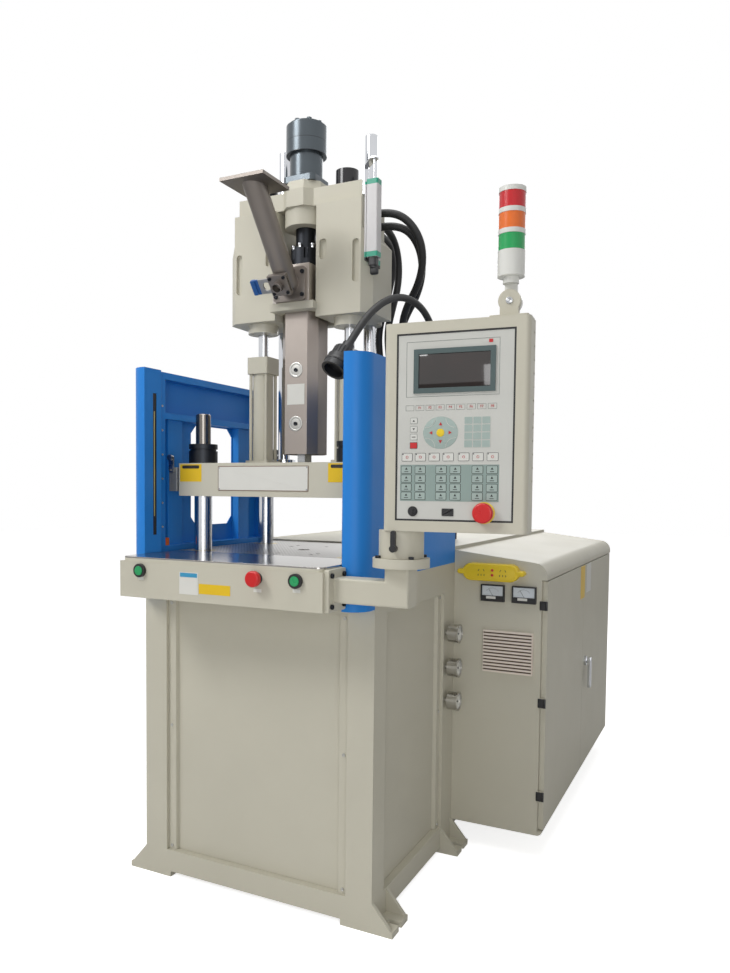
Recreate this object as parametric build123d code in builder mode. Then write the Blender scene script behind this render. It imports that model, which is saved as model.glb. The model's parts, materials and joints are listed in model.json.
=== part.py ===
from build123d import *
from math import cos, hypot, radians, sin
import os

os.makedirs("parts", exist_ok=True)

# Vertical injection moulding machine with a pull-down clamp.
# Millimetres. X to the right, Y to the back, Z up. The origin is on the floor,
# midway between the four anchor slots of the base.

# Driving dimensions: base and table
base_width = 732
base_depth = 620
base_top = 904
base_wall = 30
base_deck = 30
foot_reach = 58
foot_length = 104
foot_plate = 16
foot_gusset = 12
foot_gusset_rise = 62
anchor_slot_width = 18
anchor_slot_length = 36
anchor_slot_inset = 27
corner_width = 76
corner_front = 77
corner_rear = 97
window_bottom = 79
window_top = 815
panel_sheet = 3
panel_gap = 0.3
panel_flange = 26
panel_setback = 10
panel_recess = 14

beam_overhang = 172
beam_bottom = 842
beam_wall = 10
table_top = 950
table_sheet = 12
table_margin = 2
table_rear_margin = 10
table_corner = 24

# Driving dimensions: clamp
bar_side_margin = 122
bar_front_margin = 113
bar_rear_margin = 157
bar_diameter = 52
bar_neck = 44
bar_top = 1350
bush_wall = 14
running_gap = 0.05
platen_side = 40
platen_margin = 69
platen_bottom = 1111
platen_thickness = 94
bar_seat = 6
mould_pitch = 210
mould_hole = 14
sprue_hole = 36
nozzle_pocket = 130
nozzle_pocket_depth = 60
nut_diameter = 84
nut_height = 57
crosshead_thickness = 80
crosshead_top = 308
cylinder_outer = 236
cylinder_bore = 180
cylinder_bottom = 522
clamp_rod = 110

# Driving dimensions: injection unit
carriage_x = 147
carriage_tube = 62
carriage_bore = 50
carriage_rod = 30
carriage_head = 72
carriage_head_bottom = 1482
carriage_head_height = 50
carriage_flange = 92
carriage_flange_height = 26
carriage_up = 100
carriage_down = 15
guide_x = 150
guide_setback = 132
guide_diameter = 38
guide_top = 2197
casting_bottom = 1630
casting_top = 1948
wing_inner = 68
wing_outer = 237
wing_reach = 63
wing_setback = 94
injection_x = 135
injection_bore = 70
injection_rod = 40
bridge_bottom = 1650
bridge_thickness = 22
throat_top = 1778
throat_reach = 88
throat_half = 60
barrel_diameter = 70
screw_diameter = 32
nozzle_clearance = 0.3
cover_bottom = 1236
cover_sheet = 2
cover_half = 60
cover_face = 37
chute_outer = 62
chute_wall = 4
seat_size = 134
seat_thickness = 9
seat_reach = 280
seat_z = 1936

# Driving dimensions: rear housing, cabinet, guards and control box
housing_depth = 1280
housing_bottom = 70
housing_top = 955
housing_sheet = 5
cabinet_width = 293
cabinet_bottom = 71
cabinet_sheet = 4
door_thickness = 16
door_bottom = 84
door_top = 862
post_width = 58
post_depth = 72
post_bottom = 833
guard_top = 1468
guard_depth = 40
arm_tube = 60
arm_reach_front = 110
pedestal_side = 114
pedestal_radius = 52
box_width = 320
box_height = 460
box_depth = 80
box_bottom = 1042
box_turn = 5
light_radius = 29

# Values worked out from the driving dimensions
front_y = -base_depth / 2
rear_y = base_depth / 2
half_w = base_width / 2
window_width = base_width - 2 * corner_width
side_window_width = base_depth - corner_front - corner_rear
side_window_shift = (corner_front - corner_rear) / 2
beam_width = base_width - 2 * post_width
cabinet_right = half_w + cabinet_width
pedestal_x = half_w + pedestal_side
beam_front = front_y - beam_overhang
table_front = beam_front + table_margin
table_half = beam_width / 2 - table_margin
table_rear = rear_y - table_rear_margin
deck_bottom = base_top - base_deck
platen_top = platen_bottom + platen_thickness
clamp_y = (bar_front_margin - bar_rear_margin) / 2
bar_pitch_x = base_width - 2 * bar_side_margin
bar_pitch_y = base_depth - bar_front_margin - bar_rear_margin
platen_width = bar_pitch_x + 2 * platen_side
platen_depth = bar_pitch_y + 2 * platen_margin
bar_x = bar_pitch_x / 2
bar_points = [
    (sx * bar_x, clamp_y + sy * bar_pitch_y / 2) for sx in (-1, 1) for sy in (-1, 1)
]
bush_outer = bar_diameter + 2 * bush_wall
guide_y = clamp_y + guide_setback
wing_front = clamp_y - wing_reach
wing_rear = clamp_y + wing_setback
throat_front = clamp_y - throat_reach
seat_y = clamp_y - seat_reach
arm_y = front_y - arm_reach_front
housing_rear = rear_y + housing_depth
post_front = front_y - post_depth


def save(part, name, tint):
    """Label a finished piece, give it a colour and write its STEP file."""
    part.label = name
    part.color = Color(*tint)
    export_step(part, f"parts/{name}.step")


cream = (0.74, 0.73, 0.66)
blue = (0.1, 0.4, 0.8)
steel = (0.6, 0.6, 0.62)
chrome = (0.8, 0.8, 0.82)
dark = (0.1, 0.1, 0.1)
red = (0.8, 0.1, 0.1)
green = (0.1, 0.6, 0.3)
yellow = (0.9, 0.7, 0.1)

# Base frame: corner posts on anchor feet, sills and rails under a deck
half_d = base_depth / 2
with BuildPart() as corner_posts:
    with BuildSketch(Plane.XY.offset(foot_plate)):
        for side in (-1, 1):
            for end, corner_depth in ((-1, corner_front), (1, corner_rear)):
                with BuildLine():
                    Polyline(
                        (side * half_w, end * half_d),
                        (side * (half_w - corner_width), end * half_d),
                        (side * (half_w - corner_width), end * (half_d - base_wall)),
                        (side * (half_w - base_wall), end * (half_d - base_wall)),
                        (side * (half_w - base_wall), end * (half_d - corner_depth)),
                        (side * half_w, end * (half_d - corner_depth)),
                        close=True,
                    )
                make_face()
    extrude(amount=deck_bottom - foot_plate)

with BuildPart() as frame_bars:
    for level, height in (
        (foot_plate, window_bottom - foot_plate),
        (window_top, deck_bottom - window_top),
    ):
        with BuildSketch(Plane.XY.offset(level)):
            with GridLocations(0, base_depth - base_wall, 1, 2):
                Rectangle(window_width, base_wall)
            with Locations((0, side_window_shift)):
                with GridLocations(base_width - base_wall, 0, 2, 1):
                    Rectangle(base_wall, side_window_width)
        extrude(amount=height)

with BuildPart() as anchor_feet:
    for side in (-1, 1):
        for end in (-1, 1):
            foot_y = end * (base_depth - foot_length) / 2
            foot_x = side * (half_w + foot_reach / 2 - 45)
            with BuildSketch(Plane.XY):
                with Locations((foot_x, foot_y)):
                    Rectangle(foot_reach + 90, foot_length)
            extrude(amount=foot_plate)
            # sloped gussets each side of the anchor slot
            for edge in (-1, 1):
                gusset_y = foot_y + edge * (foot_length - foot_gusset) / 2
                with BuildSketch(Plane.XZ.offset(-gusset_y)):
                    with BuildLine():
                        Polyline(
                            (side * half_w, foot_plate - 1),
                            (side * (half_w + foot_reach - 4), foot_plate - 1),
                            (side * half_w, foot_plate + foot_gusset_rise),
                            close=True,
                        )
                    make_face()
                extrude(amount=foot_gusset / 2, both=True)
            # anchor slot, open to the outside
            slot_x = half_w + foot_reach - anchor_slot_inset
            with BuildSketch(Plane.XY):
                with Locations((side * slot_x, foot_y)):
                    Circle(anchor_slot_width / 2)
                with Locations((side * (slot_x + anchor_slot_inset), foot_y)):
                    Rectangle(2 * anchor_slot_inset, anchor_slot_width)
            extrude(amount=foot_plate, mode=Mode.SUBTRACT)

# deck with holes for the guide bushes and the ejector
with BuildPart() as deck:
    with BuildSketch(Plane.XY.offset(deck_bottom)):
        Rectangle(base_width, base_depth)
        with Locations(*bar_points):
            Circle(bush_outer / 2 + running_gap, mode=Mode.SUBTRACT)
        with Locations((0, clamp_y)):
            Circle(sprue_hole / 2, mode=Mode.SUBTRACT)
    extrude(amount=base_deck)
frame_parts = [corner_posts.part, frame_bars.part, anchor_feet.part, deck.part]
save(Compound(children=frame_parts), "base_frame", cream)


def hat_outline(width):
    """Section of a tray panel: two flanges, two steps and a recessed floor."""
    half = width / 2 - panel_gap
    inner = half - panel_flange
    return [
        (-half, 0),
        (-inner, 0),
        (-inner + panel_sheet, panel_recess - panel_sheet),
        (inner - panel_sheet, panel_recess - panel_sheet),
        (inner, 0),
        (half, 0),
        (half, panel_sheet),
        (inner + panel_sheet, panel_sheet),
        (inner, panel_recess),
        (-inner, panel_recess),
        (-inner - panel_sheet, panel_sheet),
        (-half, panel_sheet),
    ]


# Base panels: a front tray and two side trays, screwed in the windows
panel_rise = window_bottom + panel_gap
panel_height = window_top - window_bottom - 2 * panel_gap
with BuildPart() as base_panels:
    with BuildSketch(Plane.XY.offset(panel_rise)):
        with Locations((0, front_y + panel_setback)):
            Polygon(*hat_outline(window_width), align=None)
    extrude(amount=panel_height)
    for side in (-1, 1):
        with BuildSketch(Plane.XY.offset(panel_rise)):
            with Locations(
                Location((side * (half_w - panel_setback), side_window_shift), side * 90)
            ):
                Polygon(*hat_outline(side_window_width), align=None)
        extrude(amount=panel_height)
save(base_panels.part, "base_panels", cream)

# Front beam: the bed's overhang, a box open towards the base
button_x = beam_width / 2 - 71
button_z = 915
stop_x = 127
beam_bore = 22
with BuildPart() as front_beam:
    with BuildSketch(Plane.XY.offset(beam_bottom)):
        with Locations((0, front_y - beam_overhang / 2)):
            Rectangle(beam_width, beam_overhang)
    extrude(amount=table_top - table_sheet - beam_bottom)
    with BuildSketch(Plane.XY.offset(beam_bottom + beam_wall)):
        with Locations((0, front_y - (beam_overhang - beam_wall) / 2)):
            Rectangle(beam_width - 2 * beam_wall, beam_overhang - beam_wall)
    extrude(amount=table_top - table_sheet - beam_bottom - 2 * beam_wall, mode=Mode.SUBTRACT)
    with BuildSketch(Plane.XZ.offset(-beam_front)):
        with Locations((-button_x, button_z), (stop_x, button_z), (button_x, button_z)):
            Circle(beam_bore / 2)
    extrude(amount=beam_wall, both=True, mode=Mode.SUBTRACT)
save(front_beam.part, "front_beam", cream)

# Table plate: polished top over the beam and a thick slab over the deck
with BuildPart() as table_plate:
    with BuildSketch(Plane.XY.offset(table_top - table_sheet)):
        with Locations((0, (table_front + table_rear) / 2)):
            Rectangle(2 * table_half, table_rear - table_front)
    extrude(amount=table_sheet)
    fillet(table_plate.edges().filter_by(Axis.Z).group_by(Axis.Y)[0], table_corner)
    with BuildSketch(Plane.XY.offset(base_top)):
        with Locations((0, (front_y + table_rear) / 2)):
            Rectangle(2 * table_half, table_rear - front_y)
    extrude(amount=table_top - table_sheet - base_top)
    with BuildSketch(Plane.XY.offset(base_top)):
        with Locations(*bar_points):
            Circle(bush_outer / 2 + running_gap)
        with Locations((0, clamp_y)):
            Circle(sprue_hole / 2)
            with GridLocations(mould_pitch, mould_pitch, 2, 2):
                Circle(mould_hole / 2)
            with GridLocations(mould_pitch / 2, mould_pitch * 1.4, 3, 2):
                Circle(mould_hole / 2)
    extrude(amount=table_top - base_top, mode=Mode.SUBTRACT)
save(table_plate.part, "table_plate", steel)

# Guide bushes: four sleeves for the tie bars
bush_bottom = deck_bottom - 16
with BuildPart() as guide_bushes:
    with BuildSketch(Plane.XY.offset(bush_bottom)):
        with Locations(*bar_points):
            Circle(bush_outer / 2)
            Circle(bar_diameter / 2 + running_gap, mode=Mode.SUBTRACT)
    extrude(amount=table_top - bush_bottom)
    with BuildSketch(Plane.XY.offset(bush_bottom)):
        with Locations(*bar_points):
            Circle(bush_outer / 2 + 8)
            Circle(bar_diameter / 2 + running_gap, mode=Mode.SUBTRACT)
    extrude(amount=deck_bottom - bush_bottom)
save(guide_bushes.part, "guide_bushes", yellow)

# Clamp cylinder: bolted under the deck, rod downwards
cylinder_cap = 34
with BuildPart() as clamp_cylinder:
    with BuildSketch(Plane.XY.offset(cylinder_bottom)):
        with Locations((0, clamp_y)):
            Circle(cylinder_outer / 2)
    extrude(amount=deck_bottom - cylinder_bottom)
    with BuildSketch(Plane.XY.offset(deck_bottom - 30)):
        with Locations((0, clamp_y)):
            Circle(cylinder_outer / 2 + 40)
    extrude(amount=30)
    with BuildSketch(Plane.XY.offset(cylinder_bottom + cylinder_cap)):
        with Locations((0, clamp_y)):
            Circle(cylinder_bore / 2)
    extrude(amount=deck_bottom - cylinder_bottom - 2 * cylinder_cap, mode=Mode.SUBTRACT)
    with BuildSketch(Plane.XY.offset(cylinder_bottom)):
        with Locations((0, clamp_y)):
            Circle(clamp_rod / 2 + running_gap)
    extrude(amount=cylinder_cap, mode=Mode.SUBTRACT)
    with BuildSketch(Plane.XY.offset(deck_bottom - 30)):
        with Locations((0, clamp_y)):
            with PolarLocations(cylinder_outer / 2 + 22, 8):
                Circle(9)
    extrude(amount=30, mode=Mode.SUBTRACT)
save(clamp_cylinder.part, "clamp_cylinder", cream)

# Clamp piston: rod bolted to the crosshead, piston in the cylinder
piston_bottom = cylinder_bottom + cylinder_cap + 4
piston_height = 60
with BuildPart() as clamp_piston:
    with BuildSketch(Plane.XY.offset(crosshead_top)):
        with Locations((0, clamp_y)):
            Circle(clamp_rod / 2)
    extrude(amount=piston_bottom - crosshead_top)
    with BuildSketch(Plane.XY.offset(piston_bottom)):
        with Locations((0, clamp_y)):
            Circle(cylinder_bore / 2 - running_gap)
    extrude(amount=piston_height)
save(clamp_piston.part, "clamp_piston", chrome)

# Lower crosshead: the plate that pulls the four tie bars down
crosshead_bottom = crosshead_top - crosshead_thickness
arm_half = 46
with BuildPart() as lower_crosshead:
    with BuildSketch(Plane.XY.offset(crosshead_bottom)):
        with Locations((0, clamp_y)):
            Rectangle(bar_pitch_x + 2 * arm_half, bar_pitch_y + 2 * arm_half)
            Rectangle(bar_pitch_x - 4 * arm_half, bar_pitch_y + 2 * arm_half + 2, mode=Mode.SUBTRACT)
            Rectangle(bar_pitch_x, bar_pitch_y - 2 * arm_half)
    extrude(amount=crosshead_thickness)
    fillet(lower_crosshead.edges().filter_by(Axis.Z), 12)
    with BuildSketch(Plane.XY.offset(crosshead_bottom)):
        with Locations(*bar_points):
            Circle(bar_neck / 2 + running_gap)
    extrude(amount=crosshead_thickness, mode=Mode.SUBTRACT)
save(lower_crosshead.part, "lower_crosshead", cream)

# Tie bars: thick shank between crosshead and platen, threaded necks beyond
bar_bottom = crosshead_bottom - 56
with BuildPart() as tie_bars:
    with BuildSketch(Plane.XY.offset(bar_bottom)):
        with Locations(*bar_points):
            Circle(bar_neck / 2)
    extrude(amount=bar_top - bar_bottom)
    with BuildSketch(Plane.XY.offset(crosshead_top)):
        with Locations(*bar_points):
            Circle(bar_diameter / 2)
    extrude(amount=platen_bottom + bar_seat - crosshead_top)
    chamfer(tie_bars.faces().sort_by(Axis.Z)[-4:].edges(), 3)
save(tie_bars.part, "tie_bars", chrome)

# Lock nuts: a jam ring and a body above the platen, plain nuts below the crosshead
jam_height = 14
jam_gap = 6
low_nut = 46
with BuildPart() as lock_nuts:
    for level, height, radius in (
        (platen_top, nut_height, nut_diameter / 2 - 4),
        (platen_top, nut_height - jam_height - jam_gap, nut_diameter / 2),
        (platen_top + nut_height - jam_height, jam_height, nut_diameter / 2),
        (crosshead_bottom - low_nut, low_nut, nut_diameter / 2),
    ):
        with BuildSketch(Plane.XY.offset(level)):
            with Locations(*bar_points):
                Circle(radius)
                Circle(bar_neck / 2 + running_gap, mode=Mode.SUBTRACT)
        extrude(amount=height)
save(lock_nuts.part, "lock_nuts", dark)

# Moving platen: thick plate with tie bar holes, nozzle pocket and hose bulkhead
platen_front = clamp_y - platen_depth / 2
platen_rear = clamp_y + platen_depth / 2
bulkhead_x = 190
bulkhead_width = 120
bulkhead_height = 44
with BuildPart() as moving_platen:
    with BuildSketch(Plane.XY.offset(platen_bottom)):
        with Locations((0, clamp_y)):
            Rectangle(platen_width, platen_depth)
    extrude(amount=platen_thickness)
    chamfer(moving_platen.edges().filter_by(Axis.Z), 5)
    with BuildSketch(Plane.XY.offset(platen_bottom)):
        with Locations(*bar_points):
            Circle(bar_neck / 2 + running_gap)
        with Locations((0, clamp_y)):
            Circle(sprue_hole / 2)
    extrude(amount=platen_thickness, mode=Mode.SUBTRACT)
    # seats of the tie bars' shanks
    with BuildSketch(Plane.XY.offset(platen_bottom)):
        with Locations(*bar_points):
            Circle(bar_diameter / 2 + running_gap)
    extrude(amount=bar_seat, mode=Mode.SUBTRACT)
    with BuildSketch(Plane.XY.offset(platen_top - nozzle_pocket_depth)):
        with Locations((0, clamp_y)):
            Circle(nozzle_pocket / 2)
    extrude(amount=nozzle_pocket_depth, mode=Mode.SUBTRACT)
    with BuildSketch(Plane.XY.offset(platen_bottom)):
        with Locations((0, clamp_y)):
            with GridLocations(mould_pitch, mould_pitch, 2, 2):
                Circle(mould_hole / 2)
    extrude(amount=36, mode=Mode.SUBTRACT)
    with BuildSketch(Plane.XY.offset(platen_top - bulkhead_height)):
        with Locations((bulkhead_x, platen_rear + 20)):
            Rectangle(bulkhead_width, 40)
    extrude(amount=bulkhead_height)
save(moving_platen.part, "moving_platen", cream)

# Carriage cylinders: base flange, tube, square head and four stay rods each
stay_radius = 5
stay_pitch = carriage_head - 18
flange_height = 14
with BuildPart() as carriage_cylinders:
    for side in (-1, 1):
        center = (side * carriage_x, clamp_y)
        with BuildSketch(Plane.XY.offset(platen_top)):
            with Locations(center):
                RectangleRounded(carriage_head + 8, carriage_head + 8, 6)
        extrude(amount=flange_height)
        with BuildSketch(Plane.XY.offset(platen_top)):
            with Locations(center):
                Circle(carriage_tube / 2)
                with GridLocations(stay_pitch, stay_pitch, 2, 2):
                    Circle(stay_radius)
        extrude(amount=carriage_head_bottom - platen_top)
        with BuildSketch(Plane.XY.offset(carriage_head_bottom)):
            with Locations(center):
                RectangleRounded(carriage_head, carriage_head, 5)
        extrude(amount=carriage_head_height)
        with BuildSketch(Plane.XY.offset(platen_top + flange_height + 4)):
            with Locations(center):
                Circle(carriage_bore / 2)
        extrude(amount=carriage_head_bottom - platen_top - flange_height - 4, mode=Mode.SUBTRACT)
        with BuildSketch(Plane.XY.offset(carriage_head_bottom)):
            with Locations(center):
                Circle(carriage_rod / 2 + running_gap)
        extrude(amount=carriage_head_height, mode=Mode.SUBTRACT)
save(carriage_cylinders.part, "carriage_cylinders", cream)

# Carriage rods: bolted under the casting, with pistons in the tubes
carriage_piston_top = carriage_head_bottom - carriage_up - 22
with BuildPart() as carriage_rods:
    for side in (-1, 1):
        center = (side * carriage_x, clamp_y)
        with BuildSketch(Plane.XY.offset(casting_bottom - carriage_flange_height)):
            with Locations(center):
                Circle(carriage_flange / 2)
        extrude(amount=carriage_flange_height)
        with BuildSketch(Plane.XY.offset(carriage_piston_top)):
            with Locations(center):
                Circle(carriage_rod / 2)
        extrude(amount=casting_bottom - carriage_flange_height - carriage_piston_top)
        with BuildSketch(Plane.XY.offset(carriage_piston_top - 30)):
            with Locations(center):
                Circle(carriage_bore / 2 - running_gap)
        extrude(amount=30)
        with BuildSketch(Plane.XY.offset(casting_bottom - carriage_flange_height)):
            with Locations(center):
                with PolarLocations(carriage_flange / 2 - 12, 4, 45):
                    Circle(5)
        extrude(amount=12, mode=Mode.SUBTRACT)
save(carriage_rods.part, "carriage_rods", chrome)

# Guide rods: two columns behind the barrel, flanged to the platen
with BuildPart() as guide_rods:
    for side in (-1, 1):
        with BuildSketch(Plane.XY.offset(platen_top)):
            with Locations((side * guide_x, guide_y)):
                Circle(guide_diameter / 2)
        extrude(amount=guide_top - platen_top)
        with BuildSketch(Plane.XY.offset(platen_top)):
            with Locations((side * guide_x, guide_y)):
                Circle(guide_diameter)
        extrude(amount=22)
    chamfer(guide_rods.faces().sort_by(Axis.Z)[-2:].edges(), 2)
save(guide_rods.part, "guide_rods", chrome)

# Injection casting: two wings with cylinder bores, bosses, rear web and bridge
boss_radius = 37
web_front = 50
web_thickness = 34
pocket_depth = 9
wing_step = 1850
wing_upper = 212
wing_chamfer = 27
pocket_levels = (1775, 1818)
with BuildPart() as injection_casting:
    for side in (-1, 1):
        with BuildSketch(Plane.XY.offset(casting_bottom)):
            with BuildLine():
                Polyline(
                    (side * wing_inner, wing_front),
                    (side * (wing_outer - wing_chamfer), wing_front),
                    (side * wing_outer, wing_front + wing_chamfer),
                    (side * wing_outer, wing_rear),
                    (side * wing_inner, wing_rear),
                    close=True,
                )
            make_face()
            with Locations((side * guide_x, guide_y)):
                Circle(boss_radius)
            with Locations((side * guide_x, (guide_y + wing_rear) / 2)):
                Rectangle(2 * boss_radius, guide_y - wing_rear)
        extrude(amount=casting_top - casting_bottom)
    with BuildSketch(Plane.XY.offset(casting_bottom)):
        with Locations((0, web_front + web_thickness / 2)):
            Rectangle(2 * wing_inner + 20, web_thickness)
    extrude(amount=casting_top - casting_bottom - 60)
    with BuildSketch(Plane.XY.offset(bridge_bottom)):
        with Locations((0, (throat_front + web_front) / 2 + 4)):
            Rectangle(2 * wing_inner + 8, web_front - throat_front + 4)
    extrude(amount=bridge_thickness)
    # shoulders: the wings are narrower above the step
    for side in (-1, 1):
        with BuildSketch(Plane.XZ.offset(-wing_rear)):
            with BuildLine():
                Polyline(
                    (side * (wing_outer + 1), wing_step - 16),
                    (side * wing_upper, wing_step + 14),
                    (side * wing_upper, casting_top + 1),
                    (side * (wing_outer + 1), casting_top + 1),
                    close=True,
                )
            make_face()
        extrude(amount=wing_rear - wing_front, mode=Mode.SUBTRACT)
        # shallow cast pockets in the front faces
        with BuildSketch(Plane.XZ.offset(-wing_front)):
            with Locations((side * (wing_upper - 18), pocket_levels[0])):
                RectangleRounded(20, 118, 9)
            with Locations((side * (wing_inner + 22), pocket_levels[1])):
                RectangleRounded(22, 56, 8)
        extrude(amount=-pocket_depth, mode=Mode.SUBTRACT)
        # injection cylinder bore with its gland hole
        with BuildSketch(Plane.XY.offset(casting_bottom + 70)):
            with Locations((side * injection_x, clamp_y)):
                Circle(injection_bore / 2)
        extrude(amount=casting_top - casting_bottom - 84, mode=Mode.SUBTRACT)
        with BuildSketch(Plane.XY.offset(casting_top - 14)):
            with Locations((side * injection_x, clamp_y)):
                Circle(injection_rod / 2 + running_gap)
        extrude(amount=14, mode=Mode.SUBTRACT)
        with BuildSketch(Plane.XY.offset(casting_bottom)):
            with Locations((side * guide_x, guide_y)):
                Circle(guide_diameter / 2 + running_gap)
        extrude(amount=casting_top - casting_bottom, mode=Mode.SUBTRACT)
    with BuildSketch(Plane.XY.offset(bridge_bottom)):
        with Locations((0, clamp_y)):
            Circle(barrel_diameter / 2 + running_gap)
    extrude(amount=bridge_thickness, mode=Mode.SUBTRACT)
save(injection_casting.part, "injection_casting", cream)

# Throat block: the water-cooled feed block on the bridge
throat_bottom = bridge_bottom + bridge_thickness
throat_port = 48
chute_z = throat_bottom + throat_port
socket_depth = 12
feed_slot = 30
with BuildPart() as throat_block:
    with BuildSketch(Plane.XY.offset(throat_bottom)):
        with Locations((0, (throat_front + web_front - 4) / 2)):
            Rectangle(2 * throat_half, web_front - 4 - throat_front)
    extrude(amount=throat_top - throat_bottom)
    with BuildSketch(Plane.XY.offset(throat_bottom)):
        with Locations((0, clamp_y)):
            Circle(barrel_diameter / 2 + running_gap)
    extrude(amount=socket_depth, mode=Mode.SUBTRACT)
    with BuildSketch(Plane.XY.offset(throat_bottom)):
        with Locations((0, clamp_y)):
            Circle(screw_diameter / 2 + running_gap)
    extrude(amount=throat_top - throat_bottom, mode=Mode.SUBTRACT)
    with BuildSketch(Plane.XZ.offset(-throat_front)):
        with Locations((0, chute_z)):
            RectangleRounded(feed_slot, feed_slot + 8, 8)
    extrude(amount=throat_front - clamp_y, mode=Mode.SUBTRACT)
save(throat_block.part, "throat_block", steel)

# Barrel with its heater bands
barrel_top = throat_bottom + socket_depth
barrel_bottom = 1240
band_height = 90
with BuildPart() as barrel:
    with BuildSketch(Plane.XY.offset(barrel_bottom)):
        with Locations((0, clamp_y)):
            Circle(barrel_diameter / 2)
            Circle(screw_diameter / 2 + running_gap, mode=Mode.SUBTRACT)
    extrude(amount=barrel_top - barrel_bottom)
    for band in range(3):
        with BuildSketch(Plane.XY.offset(barrel_bottom + 24 + band * (band_height + 32))):
            with Locations((0, clamp_y)):
                Circle(barrel_diameter / 2 + 8)
                Circle(barrel_diameter / 2 - 1, mode=Mode.SUBTRACT)
        extrude(amount=band_height)
save(barrel.part, "barrel", steel)

# Nozzle: hexagon body and cone tip, screwed to the barrel
nozzle_hex = 24
nozzle_body = 26
nozzle_shank = 19
nozzle_tip = platen_top - nozzle_pocket_depth + nozzle_clearance
injection_axis = Axis((0, clamp_y, 0), (0, 0, 1))
with BuildPart() as nozzle:
    with BuildSketch(Plane.XY.offset(barrel_bottom - nozzle_body)):
        with Locations((0, clamp_y)):
            RegularPolygon(nozzle_hex, 6)
    extrude(amount=nozzle_body)
    with BuildSketch(Plane.XZ.offset(-clamp_y)):
        with BuildLine():
            Polyline(
                (0, barrel_bottom - nozzle_body + 1),
                (nozzle_shank, barrel_bottom - nozzle_body + 1),
                (nozzle_shank, barrel_bottom - nozzle_body - 24),
                (nozzle_shank / 2, nozzle_tip + 16),
                (nozzle_shank / 2, nozzle_tip + 5),
                (nozzle_shank / 4, nozzle_tip),
                (0, nozzle_tip),
                close=True,
            )
        make_face()
    revolve(axis=injection_axis)
    with BuildSketch(Plane.XY.offset(nozzle_tip)):
        with Locations((0, clamp_y)):
            Circle(4)
    extrude(amount=barrel_bottom - nozzle_tip, mode=Mode.SUBTRACT)
save(nozzle.part, "nozzle", steel)

# Plasticising screw with its coupling hub
coupling_bottom = throat_top + 10
coupling_radius = 44
with BuildPart() as plasticising_screw:
    with BuildSketch(Plane.XY.offset(barrel_bottom + 14)):
        with Locations((0, clamp_y)):
            Circle(screw_diameter / 2)
    extrude(amount=coupling_bottom - barrel_bottom - 14)
    with BuildSketch(Plane.XY.offset(coupling_bottom)):
        with Locations((0, clamp_y)):
            Circle(coupling_radius)
    extrude(amount=52)
    with BuildSketch(Plane.XY.offset(coupling_bottom + 52)):
        with Locations((0, clamp_y)):
            Circle(coupling_radius - 14)
    extrude(amount=59.7)
    with BuildSketch(Plane.XY.offset(coupling_bottom + 20)):
        with Locations((0, clamp_y)):
            with PolarLocations(coupling_radius, 6):
                Circle(7)
    extrude(amount=32, mode=Mode.SUBTRACT)
save(plasticising_screw.part, "plasticising_screw", dark)

# Barrel cover: folded stainless sheet, eight-sided, open at the bottom
cover_back = clamp_y + 55
cover_front = clamp_y - 55
cover_slope = 26


def cover_outline(inset):
    """Eight-sided outline of the barrel cover, moved inwards by inset."""
    face = cover_face - inset * 0.5
    half = cover_half - inset
    front = cover_front + inset
    back = cover_back - inset
    slope = cover_slope - inset * 0.35
    return [
        (-face, front),
        (face, front),
        (half, front + slope),
        (half, back - slope),
        (face, back),
        (-face, back),
        (-half, back - slope),
        (-half, front + slope),
    ]


with BuildPart() as barrel_cover:
    with BuildSketch(Plane.XY.offset(cover_bottom)):
        Polygon(*cover_outline(0), align=None)
        Polygon(*cover_outline(cover_sheet), align=None, mode=Mode.SUBTRACT)
    extrude(amount=bridge_bottom - cover_bottom)
save(barrel_cover.part, "barrel_cover", chrome)

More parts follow.
